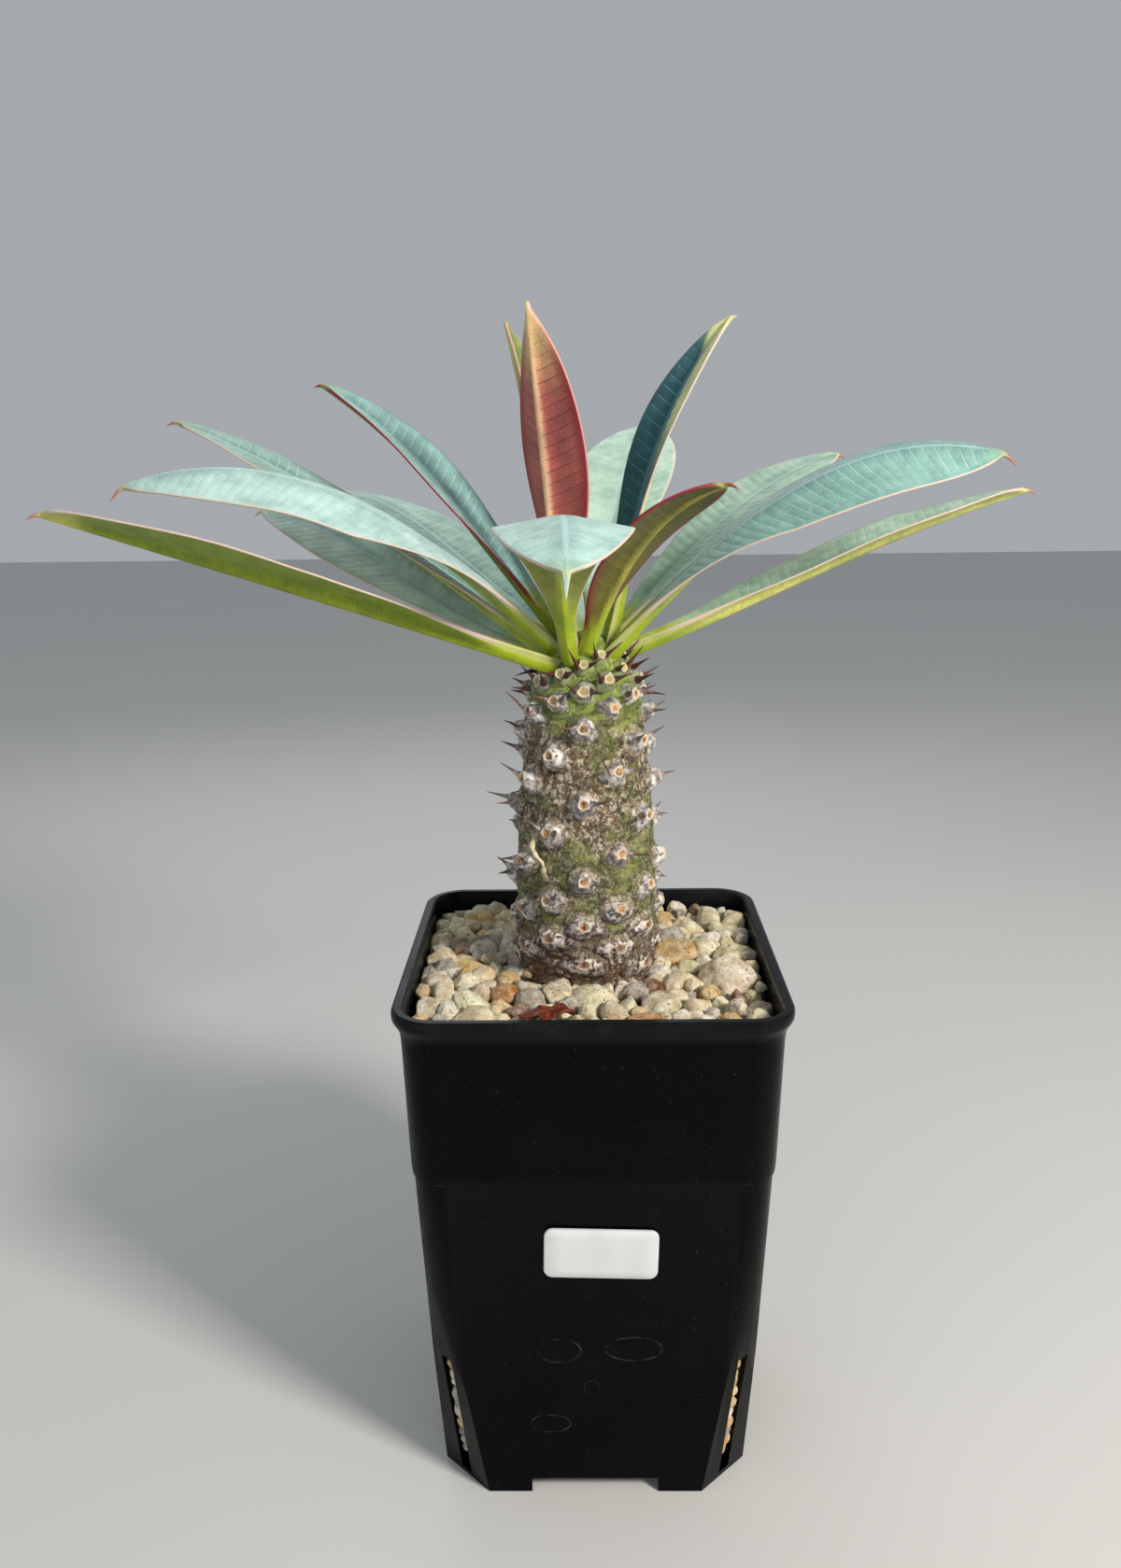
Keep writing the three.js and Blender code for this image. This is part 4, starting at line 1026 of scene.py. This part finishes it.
def make_leaf(number, leaf, looks):
    """One leaf: stalk, keel and blade with a groove, veins in relief, thin margins and a hooked tip."""
    along = np.linspace(0, 1, LEAF_ROWS)[:, None]
    middle, forward, length = midrib(leaf)
    level = direction(leaf.heading - 90, 0)
    side = unit(level - forward * (forward @ level)[:, None])
    fold, roll = (np.radians(np.interp(along, [0, 0.5, 1], bends)) for bends in (leaf.fold, leaf.roll))
    side = side * np.cos(roll) + np.cross(forward, side) * np.sin(roll)
    up = np.cross(side, forward)
    half = half_width(leaf, along)
    opened = np.clip((half - by_age(leaf, STALK_HALF)) / BLADE_OPENS, 0, 1)
    keel = by_age(leaf, STALK_DEPTH) + (KEEL_END - by_age(leaf, STALK_DEPTH)) * along ** 0.6

    shares = np.linspace(-1, 1, LEAF_COLUMNS + 1)[None, :]
    shares = np.sign(shares) * np.abs(shares) ** 0.9
    share = np.abs(shares)
    off = share * half
    run = along * length
    phase = (run - 0.3 * off - 0.012 * off ** 2) / VEIN_PITCH + 0.35 * (shares > 0)
    bow = share + 0.25 * share * (1 - share)
    ripple = RIPPLE * share ** 2 * np.sin(run / RIPPLE_LENGTH + number * 1.7 + 1.5 * (shares > 0))
    quilt = QUILT * np.cos(2 * math.pi * phase) * smooth(off, 0.6, 2.5) * smooth(half - off, 0.2, 2)
    top = half * np.tan(fold) * bow + GROOVE * (1 - np.exp(-off ** 2)) + (ripple - quilt) * opened
    stalk_thick = 0.8 + (keel - 0.8) * np.sqrt(np.maximum(1 - share ** 2, 0))
    edge_thick = BLADE_MARGIN + (BLADE_THIN - BLADE_MARGIN) * (1 - share ** 3)
    blade_thick = edge_thick + (keel - edge_thick) * np.exp(-(off / (1.55 - 0.6 * along)) ** 2)
    under = top - (stalk_thick * (1 - opened) + blade_thick * opened) + 0.5 * quilt * opened

    def sheet(wide, rise):
        return middle[:, None, :] + side[:, None, :] * wide[..., None] + up[:, None, :] * rise[..., None]

    lip = half + 0.12 + 0.25 * (1 - opened)
    between = (top + under) / 2
    rings = np.concatenate([sheet(shares * half, top), sheet(lip, between[:, -1:]),
                            sheet(shares * half, under)[:, ::-1], sheet(-lip, between[:, :1])], axis=1)

    def around(upper, edge, lower=None):
        """Values around every ring: on top, on the right lip, underneath and on the left lip."""
        lower = upper if lower is None else lower
        upper, lower = (values + np.zeros_like(off) for values in (upper, lower))
        edge = edge + np.zeros_like(along)
        return np.concatenate([upper, edge, lower[:, ::-1], edge], axis=1)

    numbers = {"above": around(1, 0.5, 0), "edge": around(half - off, 0), "rib": around(off, 20),
               "phase": around(phase, run / VEIN_PITCH), "along": around(along, along),
               "open": around(opened, opened)}
    tints = leaf_tints(numbers, looks)
    if looks.kind == "teal":
        strip = 1 - smooth(around(half * (1 - shares), 0), 4.4, 5.6)
        tints = blend(tints, PALE_STRIP, strip * smooth(numbers["along"], 0.45, 0.72))
    shape, numbers, tints = with_hook(rings, numbers, tints, forward[-1], looks.hook)
    name = f"leaf_{number:02d}"
    add_piece(f"{name}_fine", shape, leaf_surface(looks.kind, looks.margin), name, numbers, tints)


def with_hook(rings, numbers, tints, forward, ending):
    """Adds the leaf's hooked tip to its rings, numbers and tints, and closes both ends."""
    last = rings[-1]
    centre = last.mean(0)

    def bent(share):
        return centre + forward * HOOK_LENGTH * share - np.array([0, 0, HOOK_DROP]) * share ** 1.8

    def closed(values, tail):
        values = np.concatenate([values, tail])
        return np.concatenate([values.reshape(-1, *values.shape[2:]), [values[0, 0], values[-1, 0]]])

    steps = np.arange(1, HOOK_STEPS + 1)
    hook = [bent(share) + (last - centre) * (1 - share) ** 0.75 for share in steps / (HOOK_STEPS + 0.5)]
    run = np.tile((steps / HOOK_STEPS)[:, None], (1, len(last)))
    tails = {key: np.tile(values[-1], (HOOK_STEPS, 1)) for key, values in numbers.items()}
    tails["along"] = 1 + run
    faded = blend(np.tile(tints[-1], (HOOK_STEPS, 1, 1)), ending, smooth(run, 0.0, 0.5))
    return (tube([*rings, *hook], rings[0].mean(0), bent(1)),
            {key: closed(values, tails[key]) for key, values in numbers.items()}, closed(tints, faded))


def leaf_tints(numbers, looks):
    """Broad colours of a leaf: stalk, blade, underside with its keel, and yellow tip."""
    along, above = numbers["along"], numbers["above"]
    under_part = 1 - smooth(above, 0.3, 0.7)
    keel = blend(STALK, looks.keel, smooth(along, 0.12, 0.4))
    on_keel = 1 - smooth(numbers["rib"] * (1 + 0.7 * along), 0.9, 1.7)
    blade = blend(blend(looks.top, looks.under, under_part), keel, on_keel * under_part)
    bladed = np.maximum(smooth(numbers["open"], 0.02, 0.5), 0.85 * smooth(along, 0.5, 0.7))
    whole = blend(blend(STALK, STALK_PALE, 0.35 * above), blade, bladed)
    start = looks.tip_from
    ending = smooth(along, start, start + 0.8 * (1 - start)) * (0.3 + 0.7 * under_part)
    return blend(whole, looks.tip, ending)


SURFACES = {}


def leaf_surface(kind, margin):
    """Waxy leaf: bloom, pinnate veins, painted shade beside the midrib, a pale line along the midrib, and a
    thin coloured margin.
    """
    if (kind, margin) in SURFACES:
        return SURFACES[kind, margin]
    paint = Paint(f"leaf_{kind}_{len(SURFACES) + 1}", 0.3, Sheen_Weight=0.05, Sheen_Roughness=0.4)
    tint = paint.tint()
    above, edge, rib, opened, phase = paint.numbers("above", "edge", "rib", "open", "phase")
    top_face = above.span(0.45, 0.75)
    on_top = top_face * opened
    dimmed = paint.mix(1.0, tint, (188, 200, 196), "MULTIPLY")
    base = tint.coat(paint.noise(170, 4, 0.6).span(0.32, 0.68, 0, 0.7), dimmed)
    shaded = paint.mix(1.0, base, (176, 198, 206), "MULTIPLY")
    inside = edge.span(0.5, 1.8) * rib.span(0.5, 0.9)
    net = paint.cells(950, "DISTANCE_TO_EDGE").span(0.0, 0.09, 1, 0)
    vein = abs(phase.maths("FRACT") - 0.5).span(0.44, 0.478) * inside * opened
    line_top, strong_top, line_under, strong_under = VEINS[kind]
    line = paint.mix(top_face, line_under, line_top)
    strength = top_face.span(0, 1, strong_under, strong_top) * paint.noise(110).span(0.35, 0.6, 0.45, 1)
    groove = line_top if kind == "teal" else (196, 224, 222)
    # Painted shade darkens the top of the blade beside the midrib's groove.
    base = base.coat(rib.span(0.7, 3.6, 0.42, 0) * on_top, shaded).coat(vein * strength, line)
    base = base.coat(net * inside * 0.15, line).coat(rib.span(0.3, 0.75, 0.45, 0) * on_top, groove)
    if kind in ("red", "olive"):
        blush = edge.span(0.3, 3.0, 0.75, 0) * opened * top_face.span(0, 1, 1, 0)
        base = base.coat(blush, (142, 24, 46) if kind == "red" else (116, 34, 34))
    base = base.coat(edge.span(0.05, 0.22, 1, 0) * opened.span(0.02, 0.3, 0.3, 1), margin)
    if kind == "red":
        base = base.coat(edge.span(0.02, 0.14, 0.7, 0), (226, 172, 162))
    wax = paint.noise(2400, 3, 0.6)
    height = vein * -0.6 + net * -0.3 + wax * 0.25
    SURFACES[kind, margin] = paint.finish(base, top_face.span(0, 1, 0.38, 0.5) + wax * 0.1,
                                          paint.bump(height, 0.18, 0.7))
    return SURFACES[kind, margin]


# Label and scrap


def make_label():
    """A thin white plate with rounded corners, slightly domed, stuck on the pot's front."""
    outline = np.array(rounded_ring(LABEL_SIZE[0] / 2, LABEL_SIZE[1] / 2, LABEL_CORNER, LABEL_CORNER_STEPS))
    rings = [np.insert(outline * share, 2, rise, axis=1) for share, rise in LABEL_RINGS]
    flat, faces = tube(rings, (0, 0, 0), (0, 0, LABEL_THICKNESS))
    (foot, narrow), (step, wide) = POT_OUTSIDE[:2]
    lean = math.atan((wide - narrow) / (step - foot))
    turn = Matrix.Rotation(math.pi / 2 + lean, 3, "X") @ Matrix.Rotation(math.radians(LABEL_TURN), 3, "Z")
    at = np.array([LABEL_MIDDLE[0], -table_value(POT_OUTSIDE, LABEL_MIDDLE[1]) - GAP, LABEL_MIDDLE[1]])
    paint = Paint("label_plastic")
    base = paint.mix(paint.noise(130, 3), (196, 198, 199), (216, 218, 220))
    base = base.coat(paint.noise(320, 4, 0.6).span(0.6, 0.72, 0, 0.14), (170, 165, 156))
    piece = add_piece("label_plate", (flat @ np.array(turn).T + at, faces),
                      paint.finish(base, 0.42, paint.bump(paint.noise(900), 0.02)), "label")
    piece.data.set_sharp_from_angle(angle=math.radians(LABEL_CREASE))


def make_scrap():
    """A dry red-brown scrap of leaf, curled up at its edges and crumpled."""
    rows, columns = SCRAP_ROWS, SCRAP_COLUMNS
    along, across = (grid.ravel() for grid in np.meshgrid(
        np.linspace(-0.54, 0.54, rows), np.linspace(-1, 1, columns), indexing="ij"))
    half = SCRAP_HALF * np.sqrt(np.maximum(np.cos(along * math.pi / 1.12), 0)) + 0.15
    ridge = 2.5 * np.cos(along * 2.4) * (1 - np.abs(across + 0.2)) + 0.9 * across ** 4
    flat = SCRAP_MIDDLE + np.column_stack([along * SCRAP_LENGTH, across * half,
                                           ridge + 0.5 * np.sin(along * 5)])
    crumple = 0.5 * waves(flat, 5.5, 61) + 0.22 * waves(flat, 2.4, 62) + 0.08 * waves(flat, 1.1, 63)
    top = flat + np.outer(crumple, (0.15, 0.3, 1))
    size = rows * columns
    faces = grid_faces(rows, columns, False)
    below = top - (0, 0, SCRAP_THICKNESS)
    (points, faces), _ = joined([(top, faces, {}), (below, [face[::-1] for face in faces], {})])
    grid = np.arange(size).reshape(rows, columns)
    edge = [*grid[:, 0], *grid[-1, 1:], *grid[-2::-1, -1], *grid[0, -2:0:-1]]
    faces += [(a, b, size + b, size + a) for a, b in zip(edge, edge[1:] + edge[:1])]
    paint = Paint("dry_leaf")
    veins = paint.noise(320, 4, 0.6, 0.6, (1, 2.2, 1))
    base = paint.mix(veins.span(0.35, 0.65), (52, 14, 9), (138, 52, 26))
    base = base.coat(paint.noise(800, 3).span(0.6, 0.7, 0, 0.5), (172, 96, 58))
    add_piece("dry_scrap", (points, faces), paint.finish(base, 0.4, paint.bump(veins, 0.3, 0.8)),
              "fallen_leaf")


# Floor, lights and camera


def make_stage():
    mesh = bpy.data.meshes.new("floor")
    corners = [(x * FLOOR_REACH, y * FLOOR_REACH, 0) for x, y in ((-1, -1), (1, -1), (1, 1), (-1, 1))]
    mesh.from_pydata(corners, [], [(0, 1, 2, 3)])
    floor = bpy.data.objects.new("floor", mesh)
    SCENE.collection.objects.link(floor)
    paint = Paint("floor")
    mesh.materials.append(paint.finish(paint.mix(paint.noise(3), (196, 196, 194), (202, 202, 200)), 0.9))
    floor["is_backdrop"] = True
    world = bpy.data.worlds.new("studio")
    world.use_nodes = True
    sky = world.node_tree.nodes["Background"].inputs
    sky["Color"].default_value = SKY_TINT
    sky["Strength"].default_value = SKY_STRENGTH
    SCENE.world = world
    for name, place, size, power, tint in LIGHTS:
        light = bpy.data.lights.new(name, "AREA")
        light.size, light.energy, light.color = size, power, tint
        lamp = bpy.data.objects.new(name, light)
        lamp.location = place
        lamp.rotation_euler = (LIGHTS_AIM - Vector(place)).to_track_quat("-Z", "Y").to_euler()
        SCENE.collection.objects.link(lamp)


def make_camera():
    pitch, yaw, roll = (math.radians(value) for value in (CAMERA_PITCH, CAMERA_YAW, CAMERA_ROLL))
    camera = bpy.data.objects.new("camera", bpy.data.cameras.new("camera"))
    camera.data.lens = CAMERA_LENS
    camera.data.sensor_width = SENSOR_WIDTH
    camera.data.clip_start = 0.01
    camera.matrix_world = (Matrix.Translation(Vector(put_in_frame(CAMERA_PLACE)))
                           @ Matrix.Rotation(-yaw, 4, "Z") @ Matrix.Rotation(math.pi / 2 + pitch, 4, "X")
                           @ Matrix.Rotation(roll, 4, "Z"))
    SCENE.collection.objects.link(camera)
    SCENE.camera = camera


def write_sizes():
    boxes = {"cad": CAD_BOUNDS, "visual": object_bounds()}
    {name: [list(corner) for corner in box] for name, box in boxes.items()}


make_camera()
make_stage()
make_pot()
make_gravel()
make_stem()
for name, shapes, material in (("stem_tubercles", tubercles(), tubercle_skin()),
                               ("stem_spines", spines(), spine_horn()),
                               ("dry_thread", [(*thread(), {})], thread_fibre())):
    shape, numbers = joined(shapes)
    add_piece(name, shape, material, numbers=numbers)
for number, (leaf, looks) in enumerate(zip(LEAVES, LOOKS), 1):
    make_leaf(number, leaf, looks)
make_label()
make_scrap()
SCENE.view_settings.view_transform = "Standard"
write_sizes()
